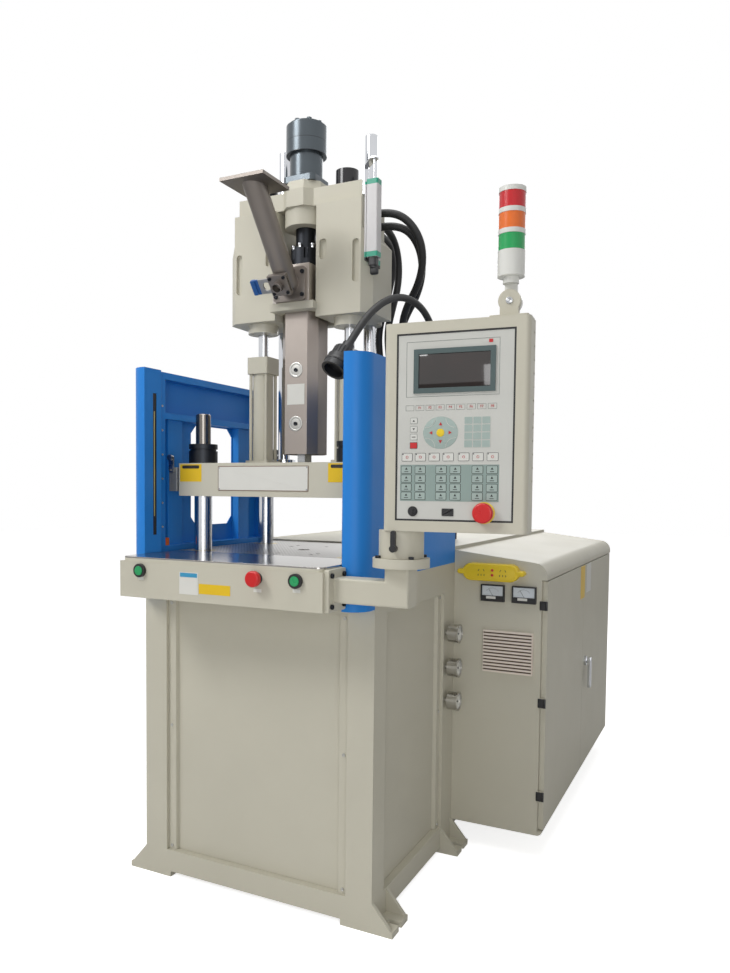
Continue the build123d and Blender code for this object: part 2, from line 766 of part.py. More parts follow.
# Feed chute: block flange, elbow, slanted tube, hopper seat and drain branch
flange_thick = 10
elbow_reach = 8
port_size = 60
port_plate = 5
port_bore = 12
port_wall = 3
port_rib = 8
stub_length = 18
chute_join = 48
gate_gap = 5
drain_along = 17
elbow_y = throat_front - flange_thick - elbow_reach
chute_dir = (0, seat_y - elbow_y, seat_z - chute_z)
chute_length = hypot(chute_dir[1], chute_dir[2])
chute_plane = Plane(origin=(0, elbow_y, chute_z), x_dir=(1, 0, 0), z_dir=chute_dir)
drain_plane = Plane(
    origin=chute_plane.offset(drain_along).origin,
    x_dir=(1, 0, 0),
    z_dir=(0, -chute_dir[2], chute_dir[1]),
)
port_start = chute_outer / 2 + 2
gate_start = port_start + port_plate
port_end = gate_start + gate_gap + port_plate
with BuildPart() as feed_chute:
    with BuildSketch(chute_plane):
        Circle(chute_outer / 2)
    extrude(amount=chute_length + chute_outer)
    split(bisect_by=Plane.XY.offset(seat_z), keep=Keep.BOTTOM)
    with Locations((0, elbow_y, chute_z)):
        Sphere(chute_outer / 2)
    with BuildSketch(Plane.XZ.offset(-throat_front)):
        with Locations((0, chute_z)):
            Circle(chute_outer / 2)
    extrude(amount=flange_thick + elbow_reach)
    split(bisect_by=Plane.XZ.offset(-throat_front), keep=Keep.TOP)
    with BuildSketch(Plane.XZ.offset(-throat_front)):
        with Locations((0, chute_z)):
            RectangleRounded(104, 96, 10)
    extrude(amount=flange_thick)
    with BuildSketch(Plane.XY.offset(seat_z)):
        with Locations((0, seat_y)):
            Rectangle(seat_size, seat_size)
    extrude(amount=seat_thickness)
    # drain branch: neck, plate, spacers beside the gate, outer plate and stub
    with BuildSketch(drain_plane):
        Circle(port_bore + 2 * port_wall)
    extrude(amount=port_start)
    with BuildSketch(drain_plane.offset(port_start)):
        Rectangle(port_size, port_size)
    extrude(amount=port_plate)
    with BuildSketch(drain_plane.offset(gate_start)):
        with GridLocations(0, port_size - port_rib, 1, 2):
            Rectangle(port_size, port_rib)
    extrude(amount=gate_gap)
    with BuildSketch(drain_plane.offset(gate_start + gate_gap)):
        Rectangle(port_size, port_size)
    extrude(amount=port_plate)
    with BuildSketch(drain_plane.offset(port_end)):
        Circle(port_bore + port_wall)
    extrude(amount=stub_length)
    # hollow all through
    with BuildSketch(chute_plane):
        Circle(chute_outer / 2 - chute_wall)
    extrude(amount=chute_length + chute_outer, mode=Mode.SUBTRACT)
    with Locations((0, elbow_y, chute_z)):
        Sphere(chute_outer / 2 - chute_wall, mode=Mode.SUBTRACT)
    with BuildSketch(Plane.XZ.offset(-throat_front)):
        with Locations((0, chute_z)):
            Circle(feed_slot / 2)
    extrude(amount=flange_thick + elbow_reach, mode=Mode.SUBTRACT)
    with BuildSketch(drain_plane):
        Circle(port_bore)
    extrude(amount=port_end + stub_length, mode=Mode.SUBTRACT)
# welded pieces that touch: seat, slanted tube, drain branch, block flange, lower tube and elbow
mitre_way = chute_plane.z_dir + Vector(0, -1, 0)
chute_seams = [
    (Plane.XY.offset(seat_z), Keep.TOP, Keep.BOTTOM),
    (chute_plane.offset(chute_join), Keep.TOP, Keep.BOTTOM),
    (drain_plane.offset(port_start), Keep.TOP, Keep.BOTTOM),
    (Plane.XZ.offset(flange_thick - throat_front), Keep.BOTTOM, Keep.TOP),
    (Plane(origin=(0, elbow_y, chute_z), x_dir=(1, 0, 0), z_dir=mitre_way), Keep.TOP, Keep.BOTTOM),
]
chute_rest = feed_chute.part
chute_parts = []
for seam, cut_side, rest_side in chute_seams:
    chute_parts.append(split(chute_rest, bisect_by=seam, keep=cut_side))
    chute_rest = split(chute_rest, bisect_by=seam, keep=rest_side)
chute_parts.append(chute_rest)
save(Compound(children=chute_parts), "feed_chute", steel)

# Slide gate: a flat plate with a hole, pushed across to open the drain
gate_play = 0.3
gate_height = 43.4
gate_travel = 42
gate_middle = -34
gate_length = 112
with BuildPart() as slide_gate:
    with BuildSketch(drain_plane.offset(gate_start + gate_play)):
        with Locations((gate_middle, 0)):
            Rectangle(gate_length, gate_height)
        with Locations((-gate_travel, 0)):
            Circle(port_bore, mode=Mode.SUBTRACT)
    extrude(amount=gate_gap - 2 * gate_play)
    with BuildSketch(drain_plane.offset(gate_start - 3)):
        with Locations((gate_middle - gate_length / 2 + 7, 0)):
            RectangleRounded(14, gate_height, 3)
    extrude(amount=gate_gap + 6)
save(slide_gate.part, "slide_gate", blue)

# Injection crosshead: bearing housing with two arms across the casting
arm_bottom = casting_top + 2
arm_height = 50
arm_reach = 205
housing_half = 68
bearing_bottom = coupling_bottom + 52 + 60
with BuildPart() as injection_crosshead:
    with BuildSketch(Plane.XY.offset(arm_bottom)):
        with Locations((0, clamp_y)):
            Rectangle(2 * arm_reach, 92)
            RegularPolygon(housing_half, 8, major_radius=False, rotation=22.5)
    extrude(amount=arm_height)
    with BuildSketch(Plane.XY.offset(arm_bottom + arm_height)):
        with Locations((0, clamp_y)):
            RegularPolygon(housing_half - 3, 8, major_radius=False, rotation=22.5)
    extrude(amount=26, taper=12)
    with BuildSketch(Plane.XY.offset(bearing_bottom)):
        with Locations((0, clamp_y)):
            Circle(62)
    extrude(amount=arm_bottom - bearing_bottom)
    with BuildSketch(Plane.XY.offset(arm_bottom)):
        with Locations((-injection_x, clamp_y), (injection_x, clamp_y)):
            Circle(injection_rod / 2 - 6 + running_gap)
    extrude(amount=arm_height, mode=Mode.SUBTRACT)
save(injection_crosshead.part, "injection_crosshead", cream)

# Hydraulic motor: flange, lower body and wider distributor with tie bolts
motor_bottom = arm_bottom + arm_height + 26
with BuildPart() as hydraulic_motor:
    with BuildSketch(Plane.XY.offset(motor_bottom)):
        with Locations((0, clamp_y)):
            RectangleRounded(104, 104, 14)
    extrude(amount=18)
    with BuildSketch(Plane.XY.offset(motor_bottom)):
        with Locations((0, clamp_y)):
            Circle(49)
    extrude(amount=90)
    with BuildSketch(Plane.XY.offset(motor_bottom + 86)):
        with Locations((0, clamp_y)):
            Circle(60)
    extrude(amount=84)
    with BuildSketch(Plane.XY.offset(motor_bottom + 170)):
        with Locations((0, clamp_y)):
            Circle(53)
    extrude(amount=6)
    with BuildSketch(Plane.XY.offset(motor_bottom + 176)):
        with Locations((0, clamp_y)):
            with PolarLocations(41, 7):
                RegularPolygon(8, 6)
    extrude(amount=7)
save(hydraulic_motor.part, "hydraulic_motor", steel)

# Injection rods: pistons in the casting's bores, nuts on the crosshead,
# and the sensor's pull rod on its bracket
sensor_x = wing_outer + 4 + 17
sensor_y = wing_front - 20
sensor_top = 1976
pull_top = sensor_top + 58
pull_depth = 140
injection_piston_bottom = casting_bottom + 74
with BuildPart() as injection_rods:
    for side in (-1, 1):
        center = (side * injection_x, clamp_y)
        with BuildSketch(Plane.XY.offset(injection_piston_bottom)):
            with Locations(center):
                Circle(injection_bore / 2 - running_gap)
        extrude(amount=34)
        with BuildSketch(Plane.XY.offset(injection_piston_bottom + 34)):
            with Locations(center):
                Circle(injection_rod / 2)
        extrude(amount=arm_bottom - injection_piston_bottom - 34)
        with BuildSketch(Plane.XY.offset(arm_bottom)):
            with Locations(center):
                Circle(injection_rod / 2 - 6)
        extrude(amount=arm_height)
        with BuildSketch(Plane.XY.offset(arm_bottom + arm_height)):
            with Locations(center):
                Circle(33)
        extrude(amount=48)
    with BuildSketch(Plane.XY.offset(sensor_top - pull_depth)):
        with Locations((sensor_x, sensor_y)):
            Circle(3)
    extrude(amount=pull_top - sensor_top + pull_depth)
    with BuildSketch(Plane.XY.offset(pull_top)):
        with BuildLine():
            Polyline(
                (arm_reach, clamp_y - 40),
                (arm_reach, clamp_y - 20),
                (sensor_x + 8, sensor_y + 10),
                (sensor_x + 8, sensor_y - 8),
                (sensor_x - 10, sensor_y - 8),
                close=True,
            )
        make_face()
    extrude(amount=4)
    with BuildSketch(Plane.YZ.offset(arm_reach)):
        with BuildLine():
            Polyline(
                (clamp_y - 44, arm_bottom + 10),
                (clamp_y - 14, arm_bottom + 10),
                (clamp_y - 14, pull_top + 4),
                (clamp_y - 44, pull_top + 4),
                close=True,
            )
        make_face()
    extrude(amount=5)
save(injection_rods.part, "injection_rods", chrome)

# Position sensor: profile body with end caps on a strip beside the casting
sensor_bottom = 1768
strip_front = sensor_y - 15
with BuildPart() as position_sensor:
    with BuildSketch(Plane.XY.offset(sensor_bottom)):
        with Locations((sensor_x, sensor_y)):
            RectangleRounded(34, 30, 4)
    extrude(amount=sensor_top - sensor_bottom)
    with BuildSketch(Plane.XY.offset(sensor_bottom - 22)):
        with Locations((sensor_x, sensor_y)):
            RectangleRounded(24, 24, 6)
    extrude(amount=22)
    with BuildSketch(Plane.YZ.offset(wing_outer)):
        with BuildLine():
            Polyline(
                (strip_front, sensor_bottom - 8),
                (-20, sensor_bottom - 8),
                (-20, wing_step - 22),
                (strip_front + 44, wing_step - 22),
                (strip_front + 44, sensor_top - 6),
                (strip_front, sensor_top - 6),
                close=True,
            )
        make_face()
    extrude(amount=4)
    with BuildSketch(Plane.XY.offset(sensor_top - pull_depth - 4)):
        with Locations((sensor_x, sensor_y)):
            Circle(3 + running_gap)
    extrude(amount=pull_depth + 4, mode=Mode.SUBTRACT)
save(position_sensor.part, "position_sensor", steel)

# Rear housing: sheet shell behind the base on two floor rails
rail_width = 60
rail_x = half_w - 66
vent_slots = 9
with BuildPart() as rear_housing:
    with BuildSketch(Plane.XY.offset(housing_bottom)):
        with Locations((0, (rear_y + housing_rear) / 2)):
            Rectangle(base_width, housing_depth)
    extrude(amount=housing_top - housing_bottom)
    with BuildSketch(Plane.XY.offset(housing_bottom + housing_sheet)):
        with Locations((0, (rear_y + housing_rear - housing_sheet) / 2)):
            Rectangle(base_width - 2 * housing_sheet, housing_depth - housing_sheet)
    extrude(amount=housing_top - housing_bottom - 2 * housing_sheet, mode=Mode.SUBTRACT)
    for side in (-1, 1):
        with BuildSketch(Plane.XY):
            with Locations((side * rail_x, (rear_y + housing_rear) / 2)):
                Rectangle(rail_width, housing_depth - 40)
        extrude(amount=housing_bottom)
    with BuildSketch(Plane.YZ.offset(-half_w)):
        with Locations((rear_y + 320, 560)):
            with GridLocations(0, 30, 1, vent_slots):
                SlotOverall(240, 10)
    extrude(amount=housing_sheet, mode=Mode.SUBTRACT)
save(rear_housing.part, "rear_housing", cream)

# Oil tank on the housing's pan, with filler neck
tank_x = -half_w + 196
tank_size = (330, 760, 340)
tank_rear_margin = 60
tank_y = housing_rear - tank_rear_margin - tank_size[1] / 2
floor_z = housing_bottom + housing_sheet
with BuildPart() as oil_tank:
    with BuildSketch(Plane.XY.offset(floor_z)):
        with Locations((tank_x, tank_y)):
            Rectangle(tank_size[0], tank_size[1])
    extrude(amount=tank_size[2])
    with BuildSketch(Plane.XY.offset(floor_z + 5)):
        with Locations((tank_x, tank_y)):
            Rectangle(tank_size[0] - 10, tank_size[1] - 10)
    extrude(amount=tank_size[2] - 10, mode=Mode.SUBTRACT)
    with BuildSketch(Plane.XY.offset(floor_z + tank_size[2])):
        with Locations((tank_x, tank_y + 300)):
            Circle(40)
    extrude(amount=30)
    with BuildSketch(Plane.XY.offset(floor_z + tank_size[2] - 5)):
        with Locations((tank_x, tank_y + 300)):
            Circle(32)
    extrude(amount=35, mode=Mode.SUBTRACT)
save(oil_tank.part, "oil_tank", cream)

# Pump unit: electric motor, bell housing and pump in line along Y
pump_x = half_w - 196
pump_z = floor_z + 150
pump_room = 420
motor_start = rear_y + pump_room
motor_radius = 115
motor_length = 330
with BuildPart() as pump_unit:
    with BuildSketch(Plane.XZ.offset(-motor_start)):
        with Locations((pump_x, pump_z)):
            Circle(motor_radius)
    extrude(amount=-motor_length)
    with BuildSketch(Plane.XZ.offset(-motor_start)):
        with Locations((pump_x, pump_z)):
            Circle(80)
    extrude(amount=90)
    with BuildSketch(Plane.XZ.offset(-motor_start + 90)):
        with Locations((pump_x, pump_z)):
            Circle(62)
    extrude(amount=150)
    with BuildSketch(Plane.XY.offset(floor_z)):
        with Locations((pump_x, motor_start + motor_length / 2)):
            Rectangle(220, 250)
    extrude(amount=60)
    with BuildSketch(Plane.XY.offset(pump_z + 90)):
        with Locations((pump_x, motor_start + motor_length / 2)):
            Rectangle(110, 130)
    extrude(amount=70)
save(pump_unit.part, "pump_unit", steel)

# Valve manifold: ported block with solenoid valves, standing on the tank
manifold_z = floor_z + tank_size[2]
valve_count = 4
with BuildPart() as valve_manifold:
    with BuildSketch(Plane.XY.offset(manifold_z)):
        with Locations((tank_x, tank_y - 120)):
            Rectangle(140, 380)
    extrude(amount=120)
    for valve in range(valve_count):
        valve_y = tank_y - 120 + (valve - (valve_count - 1) / 2) * 92
        with BuildSketch(Plane.XY.offset(manifold_z + 120)):
            with Locations((tank_x, valve_y)):
                Rectangle(100, 50)
        extrude(amount=52)
        with BuildSketch(Plane.YZ.offset(tank_x - 120)):
            with Locations((valve_y, manifold_z + 148)):
                Circle(21)
        extrude(amount=240)
save(valve_manifold.part, "valve_manifold", steel)

# Electrical cabinet: folded shell with a sloping top, open for two doors
cab_left = half_w
cab_slope_top = 944
cab_shoulder = 914
side_x = cabinet_right - door_thickness
grille_x = cab_left + 177
grille_z = 633
grille_width = 156
grille_height = 131
grille_edge = 12
hinge_levels = (195, 485, 785)
with BuildPart() as electrical_cabinet:
    with BuildSketch(Plane.XZ.offset(-rear_y)):
        with BuildLine():
            Polyline(
                (cab_left, cabinet_bottom),
                (cabinet_right, cabinet_bottom),
                (cabinet_right, cab_shoulder - 4),
                (cab_left, cab_slope_top),
                close=True,
            )
        make_face()
        fillet(vertices().group_by(Axis.X)[-1].sort_by(Axis.Y)[-1], 42)
        fillet(vertices().group_by(Axis.X)[-1].sort_by(Axis.Y)[0], 18)
    extrude(amount=-housing_depth)
    # inside
    with BuildSketch(Plane.XZ.offset(-rear_y - cabinet_sheet)):
        with BuildLine():
            Polyline(
                (cab_left + cabinet_sheet, cabinet_bottom + cabinet_sheet),
                (side_x - cabinet_sheet, cabinet_bottom + cabinet_sheet),
                (side_x - cabinet_sheet, cab_shoulder - 30),
                (cab_left + cabinet_sheet, cab_slope_top - cabinet_sheet - 4),
                close=True,
            )
        make_face()
    extrude(amount=-(housing_depth - 2 * cabinet_sheet), mode=Mode.SUBTRACT)
    # rebate for the doors along the whole side, and the opening behind them
    with BuildSketch(Plane.YZ.offset(side_x)):
        with Locations((rear_y + housing_depth / 2, (door_bottom + door_top) / 2)):
            Rectangle(housing_depth + 2, door_top - door_bottom)
    extrude(amount=door_thickness + 1, mode=Mode.SUBTRACT)
    with BuildSketch(Plane.YZ.offset(side_x - cabinet_sheet)):
        with Locations((rear_y + housing_depth / 2, (door_bottom + door_top) / 2)):
            Rectangle(housing_depth - 80, door_top - door_bottom - 50)
    extrude(amount=cabinet_sheet + 1, mode=Mode.SUBTRACT)
    # opening behind the vent grille
    with BuildSketch(Plane.XZ.offset(-rear_y)):
        with Locations((grille_x, grille_z)):
            Rectangle(grille_width - 2 * grille_edge, grille_height - 2 * grille_edge)
    extrude(amount=-cabinet_sheet, mode=Mode.SUBTRACT)
    # door hinge knuckles, three at the front edge and three at the rear edge
    for hinge_z in hinge_levels:
        for end in (-1, 1):
            hinge_y = rear_y + housing_depth / 2 + end * (housing_depth / 2 - 6)
            with BuildSketch(Plane.XY.offset(hinge_z - 14)):
                with Locations((side_x + 8, hinge_y)):
                    Circle(6)
                with Locations((side_x + 4, hinge_y + end * 1)):
                    Rectangle(8, 10)
            extrude(amount=28)
save(electrical_cabinet.part, "electrical_cabinet", cream)

# Cabinet doors: two folded trays in the rebate
door_gap = 3
door_edge = 14
door_sheet = 2
door_mid = rear_y + housing_depth / 2
door_x = side_x + 0.5
handle_y = door_mid + 45
handle_z = 490
with BuildPart() as cabinet_door_front:
    with BuildSketch(Plane.YZ.offset(door_x)):
        with Locations(((rear_y + door_edge + door_mid - door_gap / 2) / 2, (door_bottom + door_top) / 2)):
            Rectangle(door_mid - door_gap / 2 - rear_y - door_edge, door_top - door_bottom - 2 * door_gap)
    extrude(amount=cabinet_right - door_x)
    offset(amount=-door_sheet, openings=cabinet_door_front.faces().sort_by(Axis.X)[0])
save(cabinet_door_front.part, "cabinet_door_front", cream)

with BuildPart() as cabinet_door_rear:
    with BuildSketch(Plane.YZ.offset(door_x)):
        with Locations(((housing_rear - door_edge + door_mid + door_gap / 2) / 2, (door_bottom + door_top) / 2)):
            Rectangle(housing_rear - door_edge - door_mid - door_gap / 2, door_top - door_bottom - 2 * door_gap)
    extrude(amount=cabinet_right - door_x)
    offset(amount=-door_sheet, openings=cabinet_door_rear.faces().sort_by(Axis.X)[0])
    # bore for the handle's spindle
    with BuildSketch(Plane.YZ.offset(door_x)):
        with Locations((handle_y, handle_z)):
            Circle(9 + running_gap)
    extrude(amount=door_thickness, mode=Mode.SUBTRACT)
save(cabinet_door_rear.part, "cabinet_door_rear", cream)

# Door handle: rose, spindle and a swing lever hanging down
with BuildPart() as door_handle:
    with BuildSketch(Plane.YZ.offset(cabinet_right - door_thickness + 2)):
        with Locations((handle_y, handle_z)):
            Circle(9)
    extrude(amount=door_thickness - 2 + 14)
    with BuildSketch(Plane.YZ.offset(cabinet_right + 0.3)):
        with Locations((handle_y, handle_z)):
            Circle(18)
    extrude(amount=8)
    with BuildSketch(Plane.YZ.offset(cabinet_right + 14)):
        with Locations((handle_y, handle_z - 44)):
            SlotOverall(118, 22, rotation=90)
    extrude(amount=12)
    fillet(door_handle.faces().sort_by(Axis.X)[-1].edges(), 4)
save(door_handle.part, "door_handle", chrome)

# Gear plate inside the cabinet: steel plate with contactors and a transformer
gear_x = cab_left + cabinet_sheet
plate_length = housing_depth - 200
plate_height = 640
trunking_length = plate_length - 120
with BuildPart() as gear_plate:
    with BuildSketch(Plane.YZ.offset(gear_x)):
        with Locations((door_mid, 480)):
            Rectangle(plate_length, plate_height)
    extrude(amount=4)
    with BuildSketch(Plane.YZ.offset(gear_x + 4)):
        with Locations((door_mid, 690)):
            with GridLocations(105, 0, 9, 1):
                Rectangle(60, 90)
    extrude(amount=84)
    with BuildSketch(Plane.YZ.offset(gear_x + 4)):
        with Locations((door_mid - 300, 330), (door_mid + 300, 330)):
            Rectangle(260, 200)
    extrude(amount=130)
    with BuildSketch(Plane.YZ.offset(gear_x + 4)):
        with Locations((door_mid, 490)):
            Rectangle(trunking_length, 60)
    extrude(amount=50)
save(gear_plate.part, "gear_plate", steel)

# Vent grille: frame with slanted louvres over the cabinet's opening
louvre_count = 11
louvre_pitch = 9.6
with BuildPart() as vent_grille:
    with BuildSketch(Plane.XZ.offset(-rear_y)):
        with Locations((grille_x, grille_z)):
            RectangleRounded(grille_width, grille_height, 4)
            Rectangle(grille_width - 22, grille_height - 22, mode=Mode.SUBTRACT)
    extrude(amount=8)
    for louvre in range(louvre_count):
        louvre_z = grille_z + (louvre - (louvre_count - 1) / 2) * louvre_pitch
        with BuildSketch(Plane.YZ.offset(grille_x - grille_width / 2 + 10)):
            with BuildLine():
                Polyline(
                    (rear_y - 1, louvre_z + 4.5),
                    (rear_y - 9, louvre_z - 2.5),
                    (rear_y - 9, louvre_z - 4.5),
                    (rear_y - 1, louvre_z + 2.5),
                    close=True,
                )
            make_face()
        extrude(amount=grille_width - 20)
save(vent_grille.part, "vent_grille", cream)

# Panel meters: two bezels with recessed dials
meter_points = [(cab_left + 127, 815), (cab_left + 225, 815)]
with BuildPart() as panel_meters:
    with BuildSketch(Plane.XZ.offset(-rear_y)):
        with Locations(*meter_points):
            Rectangle(74, 52)
    extrude(amount=13)
    with BuildSketch(Plane.XZ.offset(-rear_y + 13)):
        for meter_x, meter_z in meter_points:
            with Locations((meter_x, meter_z + 7)):
                Rectangle(66, 31)
    extrude(amount=-3, mode=Mode.SUBTRACT)
save(panel_meters.part, "panel_meters", dark)

# Socket strip: yellow portable outlet bar hung on the cabinet's front
strip_x = cab_left + 123
strip_z = 880
with BuildPart() as socket_strip:
    with BuildSketch(Plane.XZ.offset(-rear_y)):
        with Locations((strip_x, strip_z)):
            SlotOverall(176, 54)
        with Locations((strip_x, strip_z)):
            SlotOverall(212, 16)
    extrude(amount=30)
    fillet(socket_strip.faces().sort_by(Axis.Y)[0].edges(), 5)
save(socket_strip.part, "socket_strip", yellow)

# Pressure gauges: three cases on stubs at the side of the base
gauge_y = rear_y - 74
gauge_levels = (478, 583, 690)
with BuildPart() as pressure_gauges:
    with BuildSketch(Plane.YZ.offset(half_w)):
        with Locations(*[(gauge_y, level) for level in gauge_levels]):
            Circle(7)
    extrude(amount=14)
    with BuildSketch(Plane.YZ.offset(half_w + 12)):
        with Locations(*[(gauge_y, level) for level in gauge_levels]):
            Circle(28)
    extrude(amount=28)
    with BuildSketch(Plane.YZ.offset(half_w + 40)):
        with Locations(*[(gauge_y, level) for level in gauge_levels]):
            Circle(30)
            Circle(25, mode=Mode.SUBTRACT)
    extrude(amount=5)
save(pressure_gauges.part, "pressure_gauges", chrome)

# Guard posts: closed sheet columns with a rounded outer corner and a groove
groove_bottom = 1000
groove_top = 1400
groove_y = post_front + 44
with BuildPart() as guard_posts:
    for side in (-1, 1):
        inner = side * (half_w - post_width)
        outer = side * half_w
        with BuildSketch(Plane.XY.offset(post_bottom)):
            with BuildLine():
                Polyline(
                    (outer, post_front + 50),
                    (outer, front_y),
                    (inner, front_y),
                    (inner, post_front),
                    (outer - side * 50, post_front),
                )
                RadiusArc((outer - side * 50, post_front), (outer, post_front + 50), -side * 50)
            make_face()
        extrude(amount=guard_top - post_bottom)
        with BuildSketch(Plane.XY.offset(groove_bottom)):
            with Locations((inner + side * 6, groove_y)):
                Rectangle(12, 16)
        extrude(amount=groove_top - groove_bottom, mode=Mode.SUBTRACT)
save(guard_posts.part, "guard_posts", blue)

# Light curtains: two strips set in the posts' grooves
with BuildPart() as light_curtains:
    for side in (-1, 1):
        with BuildSketch(Plane.XY.offset(groove_bottom + 0.3)):
            with Locations((side * (half_w - post_width + 6.5), groove_y)):
                Rectangle(11, 15)
        extrude(amount=groove_top - groove_bottom - 0.6)
save(light_curtains.part, "light_curtains", dark)

# Side guards: welded frames on the base's edges, the left one with a window
skin = 3
rail = 40
band_bottom = 1352
window_low = 1016
window_high = 1330
window_y0 = front_y + 210
window_y1 = rear_y - 186
pillars = ((front_y + 68, front_y + 134), (rear_y - 182, rear_y - 120))


# boxes of a guard: depth range, height range and thickness from the outer skin
guard_boxes = [
    (front_y, rear_y, base_top, guard_top, skin),
    (front_y, front_y + rail, base_top, guard_top, guard_depth),
    (rear_y - rail, rear_y, base_top, guard_top, guard_depth),
    (front_y, rear_y, guard_top - 20, guard_top, guard_depth),
    (front_y, rear_y, band_bottom - 18, band_bottom, guard_depth),
    (front_y, rear_y, base_top, base_top + 60, guard_depth),
]
for y0, y1 in pillars:
    guard_boxes.append((y0, y1, base_top, band_bottom, guard_depth - 12))

with BuildPart() as guard_frame:
    for y0, y1, z0, z1, thickness in guard_boxes:
        with BuildSketch(Plane.YZ.offset(-half_w)):
            with Locations(((y0 + y1) / 2, (z0 + z1) / 2)):
                Rectangle(y1 - y0, z1 - z0)
        extrude(amount=thickness)
    with BuildSketch(Plane.YZ.offset(-half_w)):
        with Locations(((window_y0 + window_y1) / 2, (window_low + window_high) / 2)):
            Rectangle(window_y1 - window_y0, window_high - window_low)
        chamfer(vertices(), 26)
    extrude(amount=skin, mode=Mode.SUBTRACT)
save(guard_frame.part, "guard_frame", blue)

gland_y = rear_y - 150
gland_x = half_w - 20
with BuildPart() as side_guard:
    for y0, y1, z0, z1, thickness in guard_boxes:
        with BuildSketch(Plane.YZ.offset(half_w)):
            with Locations(((y0 + y1) / 2, (z0 + z1) / 2)):
                Rectangle(y1 - y0, z1 - z0)
        extrude(amount=-thickness)
    # gland on the top rail for the heater cable
    with BuildSketch(Plane.XY.offset(guard_top)):
        with Locations((gland_x, gland_y)):
            RegularPolygon(17, 6)
    extrude(amount=14)
    with BuildSketch(Plane.XY.offset(guard_top + 14)):
        with Locations((gland_x, gland_y)):
            Circle(14)
    extrude(amount=12)
save(side_guard.part, "side_guard", blue)

# Guard switches: limit switch body on the front pillar and a small sensor below
switch_x = -half_w + guard_depth - 12
switch_y = front_y + 88
switch_z = 1124
lever_z = switch_z + 62
with BuildPart() as guard_switches:
    with BuildSketch(Plane.XY.offset(switch_z)):
        with Locations((switch_x + 15, switch_y)):
            RectangleRounded(30, 34, 3)
    extrude(amount=70)
    with BuildSketch(Plane.XZ.offset(-switch_y + 17)):
        with Locations((switch_x + 15, lever_z)):
            Circle(9)
    extrude(amount=4)
    with BuildSketch(Plane.XZ.offset(-switch_y + 17)):
        with Locations((switch_x + 15, lever_z)):
            Circle(3)
    extrude(amount=12)
    with BuildSketch(Plane.XY.offset(base_top + 60)):
        with Locations((-half_w + 22, front_y + rail + 14)):
            RectangleRounded(26, 22, 3)
    extrude(amount=22)
save(guard_switches.part, "guard_switches", steel)

# Switch lever: arm with a roller on the limit switch's shaft
with BuildPart() as switch_lever:
    with BuildSketch(Plane.XZ.offset(-switch_y + 21.3)):
        with Locations((switch_x + 15, lever_z + 18)):
            SlotOverall(52, 16, rotation=90)
        with Locations((switch_x + 15, lever_z)):
            Circle(3 + running_gap, mode=Mode.SUBTRACT)
    extrude(amount=5)
    with BuildSketch(Plane.XZ.offset(-switch_y + 26.3)):
        with Locations((switch_x + 15, lever_z + 36)):
            Circle(9)
    extrude(amount=7)
save(switch_lever.part, "switch_lever", steel)

# Control arm: flange on the beam's end, square tube, upright and pedestal stub
arm_plate = 12
arm_low = 864
flange_low = arm_low + arm_tube + 32
flange_thickness = 22
stub_radius = 40
beam_end = beam_width / 2
pedestal = (pedestal_x, arm_y)
with BuildPart() as control_arm:
    with BuildSketch(Plane.YZ.offset(beam_end)):
        with Locations((arm_y - 9, (beam_bottom + table_top - 6) / 2)):
            RectangleRounded(90, table_top - 6 - beam_bottom, 4)
    extrude(amount=arm_plate)
    with BuildLine():
        arm_path = Polyline(
            (beam_end, arm_y, arm_low + arm_tube / 2),
            (pedestal_x, arm_y, arm_low + arm_tube / 2),
            (pedestal_x, arm_y, flange_low),
        )
    with BuildSketch(Plane.YZ.offset(beam_end)):
        with Locations((arm_y, arm_low + arm_tube / 2)):
            RectangleRounded(arm_tube, arm_tube, 5)
    sweep(path=arm_path, transition=Transition.RIGHT)
    with BuildSketch(Plane.XY.offset(flange_low)):
        with Locations(pedestal):
            Circle(pedestal_radius + 14)
    extrude(amount=flange_thickness)
    with BuildSketch(Plane.XY.offset(flange_low + flange_thickness)):
        with Locations(pedestal):
            Circle(stub_radius)
    extrude(amount=box_bottom - flange_low - flange_thickness - 6)
save(control_arm.part, "control_arm", cream)

# Planes of the control box, turned a little towards the user
turn_cos = cos(radians(box_turn))
turn_sin = sin(radians(box_turn))
box_x = (turn_cos, turn_sin, 0)
box_y = (-turn_sin, turn_cos, 0)
box_left = -28
box_front = -55


def box_point(x, y, z):
    """A point of the control box: x along its width, y to its back, from the pedestal's axis."""
    return (
        pedestal_x + x * turn_cos - y * turn_sin,
        arm_y + x * turn_sin + y * turn_cos,
        z,
    )


def facing_plane(x, y, z):
    """A plane that faces the box's front, at a point of the box."""
    return Plane(origin=box_point(x, y, z), x_dir=box_x, z_dir=(turn_sin, -turn_cos, 0))


def level_plane(x, y, z):
    """A level plane turned with the box, at a point of the box."""
    return Plane(origin=box_point(x, y, z), x_dir=box_x, z_dir=(0, 0, 1))


